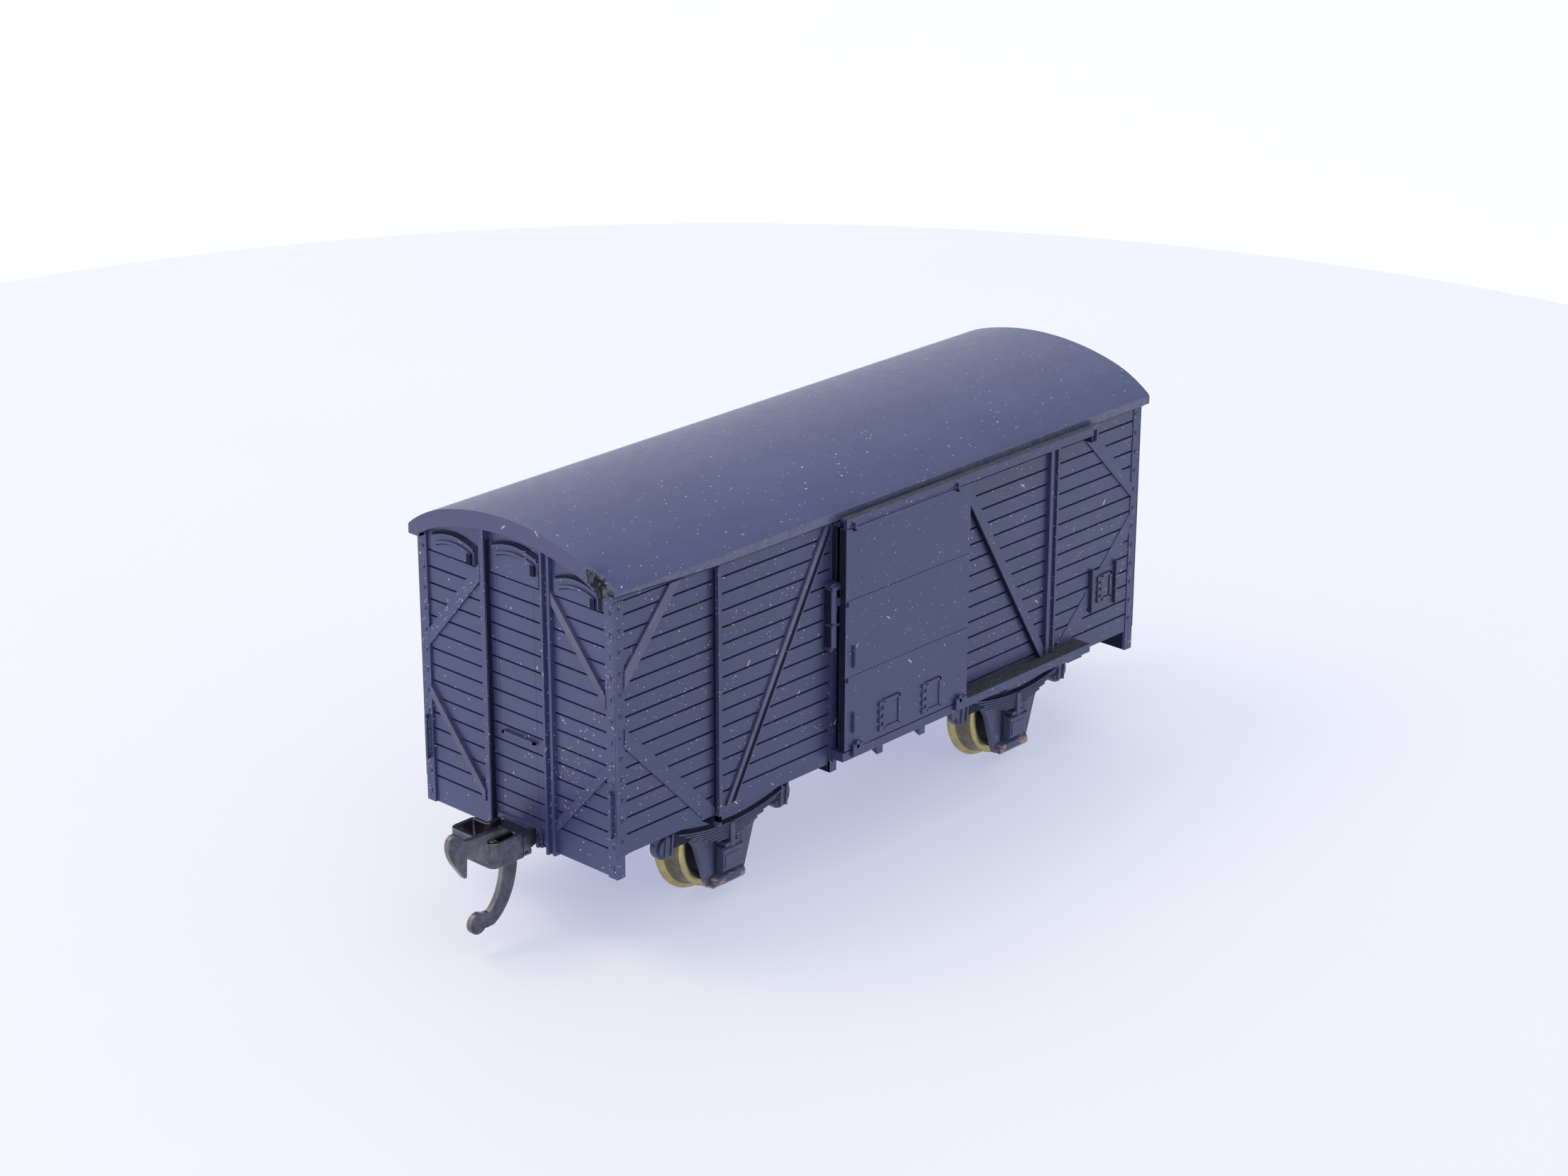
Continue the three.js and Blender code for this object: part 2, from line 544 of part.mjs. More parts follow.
[['left', -AXLE_X], ['right', AXLE_X]].forEach(([end, x]) => {
  add(`axle_${end}`, turnedY(axleProfile, x, AXLE_Z, SMALL_ROUND), BRIGHT_STEEL);
  add(`wheel_tyre_${end}_front`, turnedY(acrossCar(tyreProfile), x, AXLE_Z, ROUND), BRASS);
  add(`wheel_tyre_${end}_back`, turnedY(tyreProfile, x, AXLE_Z, ROUND), BRASS);
  add(`wheel_centre_${end}_front`, turnedY(acrossCar(centreProfile), x, AXLE_Z, ROUND), WHEEL_BLACK);
  add(`wheel_centre_${end}_back`, turnedY(centreProfile, x, AXLE_Z, ROUND), WHEEL_BLACK);
});

// ---------- sliding doors ----------

const DOOR_SEAMS = [32.4, 23.3];
const TICKETS = [[-4.9, 15.2], [2.4, 15.2]];

function doorFront(x0, x1, out, z0, z1) {
  return block(x0, x1, -DOOR_FACE - out, -DOOR_FACE + FIT, z0, z1);
}

const door = cut(join([
  block(DOOR_LEFT, DOOR_RIGHT, -DOOR_FACE, -DOOR_BACK, DOOR_BOTTOM, DOOR_TOP),
  block(DOOR_LEFT + 0.35, DOOR_RIGHT - 0.35, -TONGUE_FRONT, -TONGUE_BACK, DOOR_TOP - FIT, 41.9),
  // corner lugs, hooked over the rail and the ledge
  ...[[-9.4, -8.0], [8.1, 10.1]].flatMap(([x0, x1]) => [
    doorFront(x0, x1, LUG_OUT, 40.2, DOOR_TOP),
    block(x0, x1, -DOOR_FACE - LUG_OUT, -DOOR_FACE - FIT, 40.2, 41.7),
    doorFront(x0, x1, LUG_OUT, DOOR_BOTTOM, 15.3),
    block(x0, x1, -DOOR_FACE - LUG_OUT, -DOOR_FACE - FIT, 13.4, 15.3),
  ]),
  // grips
  doorFront(-9.55, -9.2, 0.3, 24.3, 26.8),
  doorFront(-9.55, -9.2, 0.3, 16.4, 18.9),
  // ticket frames
  ...TICKETS.flatMap(([x, z]) => [
    doorFront(x, x + 0.4, 0.25, z, z + 3.4),
    doorFront(x + 2.6, x + 3.0, 0.25, z, z + 3.4),
    doorFront(x + 0.4, x + 2.6, 0.25, z, z + 0.5),
  ]),
]), DOOR_SEAMS.map((z) => plateX(
  [[-DOOR_FACE + 0.12, z], [-DOOR_FACE - 0.12, z + 0.24], [-DOOR_FACE - 0.12, z - 0.24]], -11, 11)));
addPair('door_front', 'door_back', door, PLASTIC);

// ---------- couplers ----------

const LOOP_FRONT = -51.45;
const LOOP_REAR = -47.75;
const LOOP_HALF = 3.5;
const SHEET = 0.5;
const HOOK_FACE = -2.75; // near face of the hook plate
const HOOK_THICKNESS = 0.7;
const HOOK_PIN_RADIUS = 0.4;
const SHANK_HALF = 1.9;

function roundedLoop(inset, radius) {
  const shape = new THREE.Shape();
  const [x0, x1] = [LOOP_FRONT + inset, LOOP_REAR - inset];
  const half = LOOP_HALF - inset;
  shape.moveTo(x1, -half);
  shape.lineTo(x1, half);
  shape.lineTo(x0 + radius, half);
  shape.absarc(x0 + radius, half - radius, radius, Math.PI / 2, Math.PI, false);
  shape.lineTo(x0, -half + radius);
  shape.absarc(x0 + radius, -half + radius, radius, Math.PI, 1.5 * Math.PI, false);
  shape.lineTo(x1, -half);
  return shape;
}

const shankOutline = new THREE.Shape();
shankOutline.moveTo(-46.9, -LOOP_HALF);
shankOutline.lineTo(-45.8, -LOOP_HALF);
shankOutline.lineTo(-45.3, -SHANK_HALF);
shankOutline.lineTo(COUPLER_PIVOT_X, -SHANK_HALF);
shankOutline.absarc(COUPLER_PIVOT_X, 0, SHANK_HALF, -Math.PI / 2, Math.PI / 2, false);
shankOutline.lineTo(-45.5, SHANK_HALF);
shankOutline.lineTo(-46.9, SHANK_HALF);
shankOutline.lineTo(-46.9, -LOOP_HALF);

const loopRing = plateZ(roundedLoop(0, 0.9), LOOP_BOTTOM, LOOP_TOP)
  .subtract(plateZ(roundedLoop(SHEET, 0.4), LOOP_BOTTOM - 1, LOOP_TOP + 1));
const couplerFrame = cut(join([
  cut(loopRing, [block(-49, -47, -LOOP_HALF + SHEET, 0.8, LOOP_BOTTOM - 1, LOOP_TOP + 1)]),
  block(-48.3, -46.0, -LOOP_HALF, -LOOP_HALF + SHEET, LOOP_BOTTOM, LOOP_TOP),
  block(-48.25, -46.0, 0.8, 0.8 + SHEET, LOOP_BOTTOM, LOOP_TOP),
  plateZ(shankOutline, SHANK_BOTTOM, SHANK_TOP),
]), [
  rodZ(COUPLER_PIVOT_X, 0, 0.95, SHANK_BOTTOM - 1, SHANK_TOP + 1),
  rodY(HOOK_PIVOT_X, HOOK_PIVOT_Z, HOOK_PIN_RADIUS + 0.02, -4, 2),
]);
addPair('coupler_frame_left', 'coupler_frame_right', couplerFrame, DARK_STEEL);

// The hook, its arm and its tail are one plate, bent like an elbow at the pivot.
const hookOutline = new THREE.Shape();
hookOutline.moveTo(-50.6, 12.92);
hookOutline.lineTo(-51.6, 12.9);
hookOutline.quadraticCurveTo(-53.4, 12.6, -54.35, 12.15);
hookOutline.lineTo(-54.45, 9.9);
hookOutline.lineTo(-54.95, 9.8);
hookOutline.lineTo(-56.4, 12.2);
hookOutline.bezierCurveTo(-57.3, 13.7, -57.2, 15.3, -55.9, 15.3);
hookOutline.bezierCurveTo(-55.0, 15.3, -55.1, 14.1, -54.2, 14.05);
hookOutline.lineTo(-49.6, 13.85);
hookOutline.quadraticCurveTo(-48.0, 13.6, -47.4, 11.9);
hookOutline.lineTo(-47.25, 9.6);
hookOutline.quadraticCurveTo(-47.6, 5.2, -50.7, 3.1);
hookOutline.lineTo(-52.25, 2.85);
hookOutline.absarc(-53.05, 3.85, 1.25, -0.28 * Math.PI, 0.3 * Math.PI, true);
hookOutline.lineTo(-51.9, 4.75);
hookOutline.quadraticCurveTo(-49.6, 6.6, -49.35, 9.6);
hookOutline.lineTo(-49.35, 11.9);
hookOutline.lineTo(-50.6, 12.92);

const hook = cut(
  plateY(hookOutline, HOOK_FACE, HOOK_FACE + HOOK_THICKNESS),
  [rodY(HOOK_PIVOT_X, HOOK_PIVOT_Z, HOOK_PIN_RADIUS + 0.15, -4, 2)],
);
addPair('coupler_hook_left', 'coupler_hook_right', hook, DARK_STEEL);
addPair('hook_pin_left', 'hook_pin_right',
  rodY(HOOK_PIVOT_X, HOOK_PIVOT_Z, HOOK_PIN_RADIUS, -LOOP_HALF, 0.8 + SHEET), DARK_STEEL);
addPair('coupler_screw_left', 'coupler_screw_right',
  screw(COUPLER_PIVOT_X, SHANK_BOTTOM - FIT, FLOOR_TOP), BRIGHT_STEEL);

export default car;
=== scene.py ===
"""Looks of the two-axle model box car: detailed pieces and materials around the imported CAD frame."""
import math
import random

import bmesh
import bpy
from mathutils import Matrix, Vector


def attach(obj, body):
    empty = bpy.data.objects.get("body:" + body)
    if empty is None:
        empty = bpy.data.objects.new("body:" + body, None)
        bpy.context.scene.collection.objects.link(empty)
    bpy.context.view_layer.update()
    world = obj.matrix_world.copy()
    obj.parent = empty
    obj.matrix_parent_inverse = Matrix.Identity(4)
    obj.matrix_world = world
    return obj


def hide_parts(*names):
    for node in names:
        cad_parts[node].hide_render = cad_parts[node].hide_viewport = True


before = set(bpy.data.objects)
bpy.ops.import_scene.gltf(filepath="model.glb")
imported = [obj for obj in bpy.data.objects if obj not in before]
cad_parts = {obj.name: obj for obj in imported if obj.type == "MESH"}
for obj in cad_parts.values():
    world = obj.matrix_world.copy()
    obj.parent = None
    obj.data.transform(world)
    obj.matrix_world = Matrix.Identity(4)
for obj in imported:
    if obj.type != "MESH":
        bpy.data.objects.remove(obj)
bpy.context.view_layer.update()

MM = 0.001
PER_METRE = 1000.0

# a detailed piece's material slots: its own look, worn edges, and painted deep shade in gaps and grooves
PLAIN, WORN, PAINTED_SHADE = 0, 1, 2

# edges sharper than this many degrees are bevelled
BEVEL_FROM = 38


# ---------- shapes, all in millimetres ----------

class Form:
    """Closed shapes gathered into one mesh."""

    def __init__(self):
        self.verts = []
        self.faces = []
        self.slots = []

    def put(self, verts, faces, slot=PLAIN):
        base = len(self.verts)
        self.verts += [tuple(v) for v in verts]
        self.faces += [tuple(base + i for i in f) for f in faces]
        self.slots += [slot] * len(faces)

    def prism(self, ring_a, ring_b, slot=PLAIN, rim_slot=None):
        """A solid between two outlines of as many points; its rim may take another material."""
        n = len(ring_a)
        faces = [tuple(range(n))[::-1], tuple(range(n, 2 * n))]
        faces += [(i, (i + 1) % n, n + (i + 1) % n, n + i) for i in range(n)]
        self.put(list(ring_a) + list(ring_b), faces, slot)
        if rim_slot is not None:
            self.slots[-n:] = [rim_slot] * n

    def box(self, x0, x1, y0, y1, z0, z1, slot=PLAIN):
        a = [(x0, y0, z0), (x1, y0, z0), (x1, y1, z0), (x0, y1, z0)]
        self.prism(a, [(x, y, z1) for x, y, z in a], slot)

    def along_x(self, outline, x0, x1, slot=PLAIN):
        self.prism([(x0, y, z) for y, z in outline], [(x1, y, z) for y, z in outline], slot)

    def along_y(self, outline, y0, y1, slot=PLAIN, rim_slot=None):
        self.prism([(x, y0, z) for x, z in outline], [(x, y1, z) for x, z in outline], slot, rim_slot)

    def along_z(self, outline, z0, z1, slot=PLAIN):
        self.prism([(x, y, z0) for x, y in outline], [(x, y, z1) for x, y in outline], slot)

    def rivet(self, x, y, z, out, r=0.21, h=0.2):
        """A low dome on a face at x, y, z; out is the axis it stands out along: "-x" or "-y"."""
        sides = 8
        verts = []
        for radius, height in ((r, -0.05), (r, 0.35 * h), (0.62 * r, 0.85 * h)):
            for i in range(sides):
                a = math.tau * i / sides
                u, v = radius * math.cos(a), radius * math.sin(a)
                verts.append((x - height, y + u, z + v) if out == "-x" else (x + u, y - height, z + v))
        verts.append((x - h, y, z) if out == "-x" else (x, y - h, z))
        faces = [tuple(range(sides))]
        for low in (0, sides):
            high = low + sides
            faces += [(low + i, low + (i + 1) % sides, high + (i + 1) % sides, high + i)
                      for i in range(sides)]
        last = 2 * sides
        faces += [(last + i, last + (i + 1) % sides, last + sides) for i in range(sides)]
        self.put(verts, faces)

    def strip(self, path, thick, z0, z1):
        """A bent sheet standing on edge along a plan path."""
        left, right = [], []
        n = len(path)
        for i, p in enumerate(path):
            p = Vector(p)
            d0 = (p - Vector(path[i - 1])).normalized() if i else None
            d1 = (Vector(path[i + 1]) - p).normalized() if i < n - 1 else None
            d0, d1 = d0 or d1, d1 or d0
            m = (d0 + d1).normalized()
            side = Vector((-m.y, m.x)) * (thick / 2 / max(m.dot(d0), 0.5))
            left.append(p + side)
            right.append(p - side)
        self.along_z([tuple(q) for q in left + right[::-1]], z0, z1)

    def lathe_y(self, profile, x, z, sides, bands=()):
        """A closed profile of (radius, y) turned about a line along Y; bands lists its worn faces."""
        n = len(profile)
        verts = []
        for i in range(sides):
            a = math.tau * i / sides
            verts += [(x + r * math.cos(a), y, z + r * math.sin(a)) for r, y in profile]
        faces = []
        for i in range(sides):
            j = (i + 1) % sides
            faces += [(i * n + k, j * n + k, j * n + (k + 1) % n, i * n + (k + 1) % n)
                      for k in range(n)]
        self.put(verts, faces)
        self.slots[-len(faces):] = [WORN if k in bands else PLAIN for _ in range(sides) for k in range(n)]

    def add(self, other):
        """All the shapes of another form, with their materials."""
        base = len(self.verts)
        self.verts += other.verts
        self.faces += [tuple(base + i for i in f) for f in other.faces]
        self.slots += other.slots

    def turned(self):
        """The same shapes after half a turn about Z."""
        other = Form()
        other.verts = [(-x, -y, z) for x, y, z in self.verts]
        other.faces = list(self.faces)
        other.slots = list(self.slots)
        return other


def new_object(name, data):
    obj = bpy.data.objects.new(name, data)
    bpy.context.scene.collection.objects.link(obj)
    return obj


def piece(name, form, body, materials, stands_for, bevel=0.06, smooth=None, edge_slot=None):
    """One visible piece riding on a body, with bevelled edges of bevel mm where it has any."""
    bm = bmesh.new()
    verts = [bm.verts.new(Vector(v) * MM) for v in form.verts]
    for face, index in zip(form.faces, form.slots):
        f = bm.faces.new([verts[i] for i in face])
        f.material_index = index
    bmesh.ops.recalc_face_normals(bm, faces=bm.faces)
    mesh = bpy.data.meshes.new(name)
    bm.to_mesh(mesh)
    bm.free()
    if smooth:
        mesh.shade_smooth()
        mesh.set_sharp_from_angle(angle=math.radians(smooth))
    obj = new_object(name, mesh)
    for material in materials:
        mesh.materials.append(material)
    if bevel:
        mod = obj.modifiers.new("edges", "BEVEL")
        mod.width = bevel * MM
        mod.segments = 2
        mod.limit_method = "ANGLE"
        mod.angle_limit = math.radians(BEVEL_FROM)
        mod.use_clamp_overlap = True
        if edge_slot is not None:
            mod.material = edge_slot
    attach(obj, body)
    if stands_for:
        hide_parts(*stands_for)


def arc(cx, cz, r, a0, a1, n):
    """Points of an arc from a0 to a1 degrees."""
    return [(cx + r * math.cos(math.radians(a0 + (a1 - a0) * i / n)),
             cz + r * math.sin(math.radians(a0 + (a1 - a0) * i / n))) for i in range(n + 1)]


def bezier(p0, p1, p2, p3, n):
    """Points of a cubic curve, without its first."""
    out = []
    for i in range(1, n + 1):
        t = i / n
        w = ((1 - t) ** 3, 3 * t * (1 - t) ** 2, 3 * t * t * (1 - t), t ** 3)
        out.append(tuple(sum(w[k] * p[j] for k, p in enumerate((p0, p1, p2, p3))) for j in (0, 1)))
    return out


# ---------- materials ----------

class Nodes:
    """A short way to write a material's nodes."""

    def __init__(self, name):
        self.material = bpy.data.materials.new(name)
        self.material.use_nodes = True
        self.tree = self.material.node_tree
        self.bsdf = self.tree.nodes["Principled BSDF"]
        self.place = self.new("ShaderNodeTexCoord").outputs["Object"]

    def new(self, kind, **settings):
        node = self.tree.nodes.new(kind)
        for key, value in settings.items():
            setattr(node, key, value)
        return node

    def link(self, value, socket):
        if isinstance(value, bpy.types.NodeSocket):
            self.tree.links.new(value, socket)
        else:
            socket.default_value = value

    def math(self, op, a, b=0.0, clamp=False):
        node = self.new("ShaderNodeMath", operation=op, use_clamp=clamp)
        self.link(a, node.inputs[0])
        self.link(b, node.inputs[1])
        return node.outputs[0]

    def scaled(self, scale, turn=(0, 0, 0)):
        node = self.new("ShaderNodeMapping")
        self.link(self.place, node.inputs["Vector"])
        node.inputs["Scale"].default_value = scale
        if any(turn):
            turned = self.new("ShaderNodeMapping")
            self.link(self.place, turned.inputs["Vector"])
            turned.inputs["Rotation"].default_value = turn
            self.link(turned.outputs[0], node.inputs["Vector"])
        return node.outputs[0]

    def noise(self, per_mm, detail=3.0, rough=0.55, stretch=(1, 1, 1)):
        node = self.new("ShaderNodeTexNoise")
        self.link(self.scaled(tuple(PER_METRE * s for s in stretch)), node.inputs["Vector"])
        node.inputs["Scale"].default_value = per_mm
        node.inputs["Detail"].default_value = detail
        node.inputs["Roughness"].default_value = rough
        return node.outputs[0]

    def ramp(self, value, low, high):
        """0 at low, 1 at high, straight between."""
        node = self.new("ShaderNodeMapRange", clamp=True)
        self.link(value, node.inputs["Value"])
        node.inputs["From Min"].default_value = low
        node.inputs["From Max"].default_value = high
        return node.outputs[0]

    def mix(self, factor, a, b):
        """Colour a where factor is 0, b where it is 1."""
        node = self.new("ShaderNodeMix", data_type="RGBA")
        self.link(factor, node.inputs["Factor"])
        self.link(a if isinstance(a, bpy.types.NodeSocket) else (*a, 1.0), node.inputs["A"])
        self.link(b if isinstance(b, bpy.types.NodeSocket) else (*b, 1.0), node.inputs["B"])
        return node.outputs["Result"]

    def specks(self, per_mm, size, share, stretch=(1, 1, 1), turn=(0, 0, 0)):
        """Small round or drawn-out grains: per_mm cells a millimetre, of which a share hold one."""
        node = self.new("ShaderNodeTexVoronoi", feature="F1")
        self.link(self.scaled(tuple(PER_METRE * s for s in stretch), turn), node.inputs["Vector"])
        node.inputs["Scale"].default_value = per_mm
        near = self.ramp(node.outputs["Distance"], size, size * 0.6)
        parts = self.new("ShaderNodeSeparateColor")
        self.link(node.outputs["Color"], parts.inputs[0])
        chosen = self.math("LESS_THAN", parts.outputs[0], share)
        return self.math("MULTIPLY", near, chosen)

    def near_point(self, point, inner, outer):
        """1 within inner mm of a point, falling to 0 at outer mm."""
        away = self.new("ShaderNodeVectorMath", operation="DISTANCE")
        self.link(self.scaled((PER_METRE, PER_METRE, PER_METRE)), away.inputs[0])
        away.inputs[1].default_value = point
        return self.ramp(away.outputs["Value"], outer, inner)

    def upward(self, low, high):
        """0 where the surface's normal rises less than low, 1 where it rises more than high."""
        parts = self.new("ShaderNodeSeparateXYZ")
        self.link(self.new("ShaderNodeNewGeometry").outputs["Normal"], parts.inputs[0])
        return self.ramp(parts.outputs["Z"], low, high)

    def part_of_place(self, axis):
        """The place along one axis, in mm."""
        parts = self.new("ShaderNodeSeparateXYZ")
        self.link(self.place, parts.inputs[0])
        return self.math("MULTIPLY", parts.outputs[axis], PER_METRE)

    def bump(self, height, strength, distance_mm):
        node = self.new("ShaderNodeBump")
        node.inputs["Strength"].default_value = strength
        node.inputs["Distance"].default_value = distance_mm * MM
        self.link(height, node.inputs["Height"])
        self.link(node.outputs[0], self.bsdf.inputs["Normal"])

    def set(self, **values):
        """The shader's own inputs, as values or as sockets to link, with _ for a space."""
        for key, value in values.items():
            self.link(value, self.bsdf.inputs[key.replace("_", " ")])


INK = (0.031, 0.036, 0.090)
INK_LIGHT = (0.037, 0.043, 0.103)
SHEEN_TINT = (0.68, 0.74, 1.0, 1.0)
DUST = (0.66, 0.62, 0.60)
BROWN_DUST = (0.50, 0.40, 0.30)
FILM = (0.16, 0.16, 0.19)
GRIME = (0.068, 0.072, 0.108)
EAVE_DUST = (0.115, 0.118, 0.150)
BRUISES = ((-44.9, -12.3, 44.2), (-45.0, -12.9, 43.7), (-45.0, -13.5, 43.2), (-45.0, -14.1, 42.8),
           (-45.0, -14.6, 42.4), (-45.0, -15.1, 42.0))
LINT_PATCH = (-44.0, -9.0, 21.0)
# grains: cells a millimetre, size, and the least share of cells holding one on the roof and elsewhere
GRAINS = ((1.15, 0.11, 0.10, 0.15), (2.3, 0.17, 0.05, 0.12))
# the ways the hairs lie
HAIR_TURNS = ((0.0, 0.9, 0.0), (0.0, -0.6, 0.0), (0.8, 0.0, 0.0), (-0.9, 0.0, 0.0))


def dust_mask(n, dusty, eave):
    """Grains and short hairs, thicker in patches and round the lint patch."""
    patches = n.math("MULTIPLY", n.ramp(n.noise(0.16, 2.0), 0.34, 0.62), 0.5 if eave else 1.0)
    crowd = n.near_point(LINT_PATCH, 2.0, 9.0)
    share = n.math("ADD", n.math("MULTIPLY", patches, 0.28 * dusty), n.math("MULTIPLY", crowd, 0.45))
    dust = None
    for per_mm, size, on_roof, on_walls in GRAINS:
        least = on_roof if eave else on_walls * dusty * dusty
        grains = n.specks(per_mm, size, n.math("ADD", share, least))
        dust = grains if dust is None else n.math("MAXIMUM", dust, grains)
    for turn in HAIR_TURNS:
        hair_share = n.math("ADD", n.math("MULTIPLY", share, 0.7), 0.07 * dusty)
        dust = n.math("MAXIMUM", dust, n.specks(0.8, 0.085, hair_share, (1, 1, 0.2), turn))
    return dust


def eave_dirt(n, colour):
    """Grime along the roof's lower border and pale dust on its standing rim."""
    low = n.ramp(n.part_of_place("Z"), 43.0, 42.2)
    low = n.math("MULTIPLY", low, n.ramp(n.noise(0.9, 5.0, 0.7, (0.35, 1, 1)), 0.34, 0.62))
    colour = n.mix(n.math("MULTIPLY", low, 0.75), colour, GRIME)
    across = n.math("ABSOLUTE", n.part_of_place("Y"))
    rim = n.math("MULTIPLY", n.ramp(across, 15.60, 15.69), n.ramp(n.noise(1.3, 5.0, 0.7), 0.36, 0.58))
    return n.mix(n.math("MULTIPLY", rim, 0.62), colour, EAVE_DUST)


def bruised(n, colour, rough):
    """The torn corner: a dark frayed patch with pale fibres, in a pale border."""
    torn = n.near_point(BRUISES[0], 0.0, 1.1)
    for point in BRUISES[1:]:
        torn = n.math("MAXIMUM", torn, n.near_point(point, 0.1, 1.6))
    ragged = n.math("ADD", torn, n.math("MULTIPLY", n.noise(1.2, 6.0, 0.75), 1.4))
    frayed = n.ramp(ragged, 1.08, 1.30)
    fibres = n.ramp(n.noise(1.5, 4.0, 0.65, (1, 1, 0.3)), 0.50, 0.64)
    melted = n.mix(fibres, (0.008, 0.010, 0.013), (0.120, 0.124, 0.135))
    n.set(Specular_Tint=n.mix(frayed, SHEEN_TINT[:3], (0.14, 0.15, 0.20)))
    colour = n.mix(n.math("MULTIPLY", n.ramp(ragged, 0.98, 1.08), 0.3), colour, FILM)
    return n.mix(frayed, colour, melted), n.math("MAXIMUM", rough, n.math("MULTIPLY", frayed, 0.8))


def plastic(name, base, light, rough, dusty=1.0, eave=False):
    """Satin plastic in two close shades with a dull film on top and dust; eave adds the roof's wear."""
    n = Nodes(name)
    cloud = n.ramp(n.noise(0.09, 3.0), 0.35, 0.68)
    colour = n.mix(cloud, base, light)
    film = n.math("MULTIPLY", n.upward(0.45, 0.95), n.ramp(n.noise(0.45, 6.0, 0.7), 0.42, 0.75))
    colour = n.mix(n.math("MULTIPLY", film, 0.10), colour, FILM)
    if eave:
        colour = eave_dirt(n, colour)
    tint = n.mix(n.ramp(n.noise(0.8, 1.0), 0.45, 0.6), DUST, BROWN_DUST)
    colour = n.mix(n.math("MULTIPLY", dust_mask(n, dusty, eave), dusty), colour, tint)
    rough = n.math("ADD", n.math("MULTIPLY", n.noise(0.7, 5.0, 0.65), 0.14), rough - 0.07)
    n.set(Specular_IOR_Level=1.0)
    if eave:
        colour, rough = bruised(n, colour, rough)
    else:
        n.set(Specular_Tint=SHEEN_TINT)
    n.set(Base_Color=colour, Roughness=rough)
    n.bump(n.noise(3.2, 4.0, 0.6), 0.08, 0.05)
    return n.material


def shade_paint(name, dark, pale):
    """Painted shade: the dark of a narrow gap or a deep groove, with real dust specks on it."""
    n = Nodes(name)
    colour = n.mix(n.ramp(n.noise(1.5, 4.0, 0.7), 0.4, 0.7), dark, pale)
    colour = n.mix(n.math("MULTIPLY", n.specks(1.1, 0.08, 0.10), 0.5), colour, DUST)
    n.set(Base_Color=colour, Roughness=0.75, Specular_IOR_Level=0.2, Specular_Tint=SHEEN_TINT)
    n.bump(n.noise(3.0, 4.0), 0.1, 0.05)
    return n.material


def dirt(name, dark, pale):
    """Crumbly dirt lying on a ledge."""
    n = Nodes(name)
    crumbs = n.ramp(n.noise(2.2, 6.0, 0.75), 0.38, 0.66)
    colour = n.mix(crumbs, dark, pale)
    colour = n.mix(n.math("MULTIPLY", n.specks(1.4, 0.16, 0.14), 0.55), colour, (0.45, 0.38, 0.30))
    n.set(Base_Color=colour, Roughness=0.85)
    n.bump(crumbs, 0.6, 0.08)
    return n.material


def casting():
    """Painted casting, chipped to the bare metal near its foot."""
    n = Nodes("casting_paint")
    colour = n.mix(n.ramp(n.noise(0.8, 5.0), 0.35, 0.7), (0.050, 0.052, 0.098), (0.067, 0.070, 0.124))
    height = n.part_of_place("Z")
    ragged = n.noise(0.9, 5.0, 0.7, (0.55, 1.0, 1.3))
    low = n.ramp(height, 5.2, 2.0)
    chips = n.ramp(n.math("ADD", ragged, n.math("MULTIPLY", low, 0.26)), 0.745, 0.775)
    chips = n.math("MULTIPLY", chips, n.ramp(low, 0.0, 0.1))
    colour = n.mix(chips, colour, (0.38, 0.245, 0.17))
    colour = n.mix(n.math("MULTIPLY", n.specks(0.9, 0.09, 0.16), 0.5), colour, DUST)
    rough = n.math("ADD", n.math("MULTIPLY", n.noise(1.3, 5.0), 0.3), 0.24)
    n.set(Base_Color=colour, Metallic=n.math("MULTIPLY", chips, 0.4), Roughness=rough)
    n.set(Specular_IOR_Level=0.8, Specular_Tint=SHEEN_TINT)
    n.bump(n.noise(1.9, 5.0, 0.65), 0.35, 0.06)
    return n.material


def metal(name, colour_a, colour_b, rough, spots, spot=(0.1, 0.08, 0.05), grain=(1, 1, 1)):
    """Bare metal in two shades with darker spots; spots is their strength."""
    n = Nodes(name)
    colour = n.mix(n.ramp(n.noise(0.9, 5.0, 0.65), 0.35, 0.68), colour_a, colour_b)
    mask = n.ramp(n.noise(1.9, 4.0, 0.7), 0.60, 0.72)
    colour = n.mix(n.math("MULTIPLY", mask, spots), colour, spot)
    rough = n.math("ADD", n.math("MULTIPLY", n.noise(2.0, 5.0, 0.7, grain), 0.26), rough - 0.13)
    n.set(Base_Color=colour, Metallic=1.0, Roughness=rough)
    n.bump(n.noise(5.0, 3.0, 0.6, grain), 0.12, 0.03)
    return n.material


BODY = plastic("body_plastic", INK, INK_LIGHT, 0.40)
# the end's plastic painted lighter than the sides as painted light on the end face, with a little more real
# dust
END_BODY_LIT = plastic("end_plastic_lit", (0.041, 0.047, 0.122), (0.047, 0.054, 0.136), 0.40, 1.1)
BODY_EDGE = plastic("body_plastic_edge", (0.042, 0.044, 0.095), (0.100, 0.103, 0.155), 0.36, 0.5)
# painted shade: near-black sheets put where gaps and grooves fall into shade
SHADE_PAINT = shade_paint("painted_shade_dark", (0.009, 0.010, 0.024), (0.016, 0.017, 0.040))
# painted shade for the gaps round the axle guards, flecked with real dust
BRACKET_SHADE_PAINT = shade_paint("bracket_painted_shade", (0.022, 0.023, 0.042), (0.034, 0.035, 0.064))
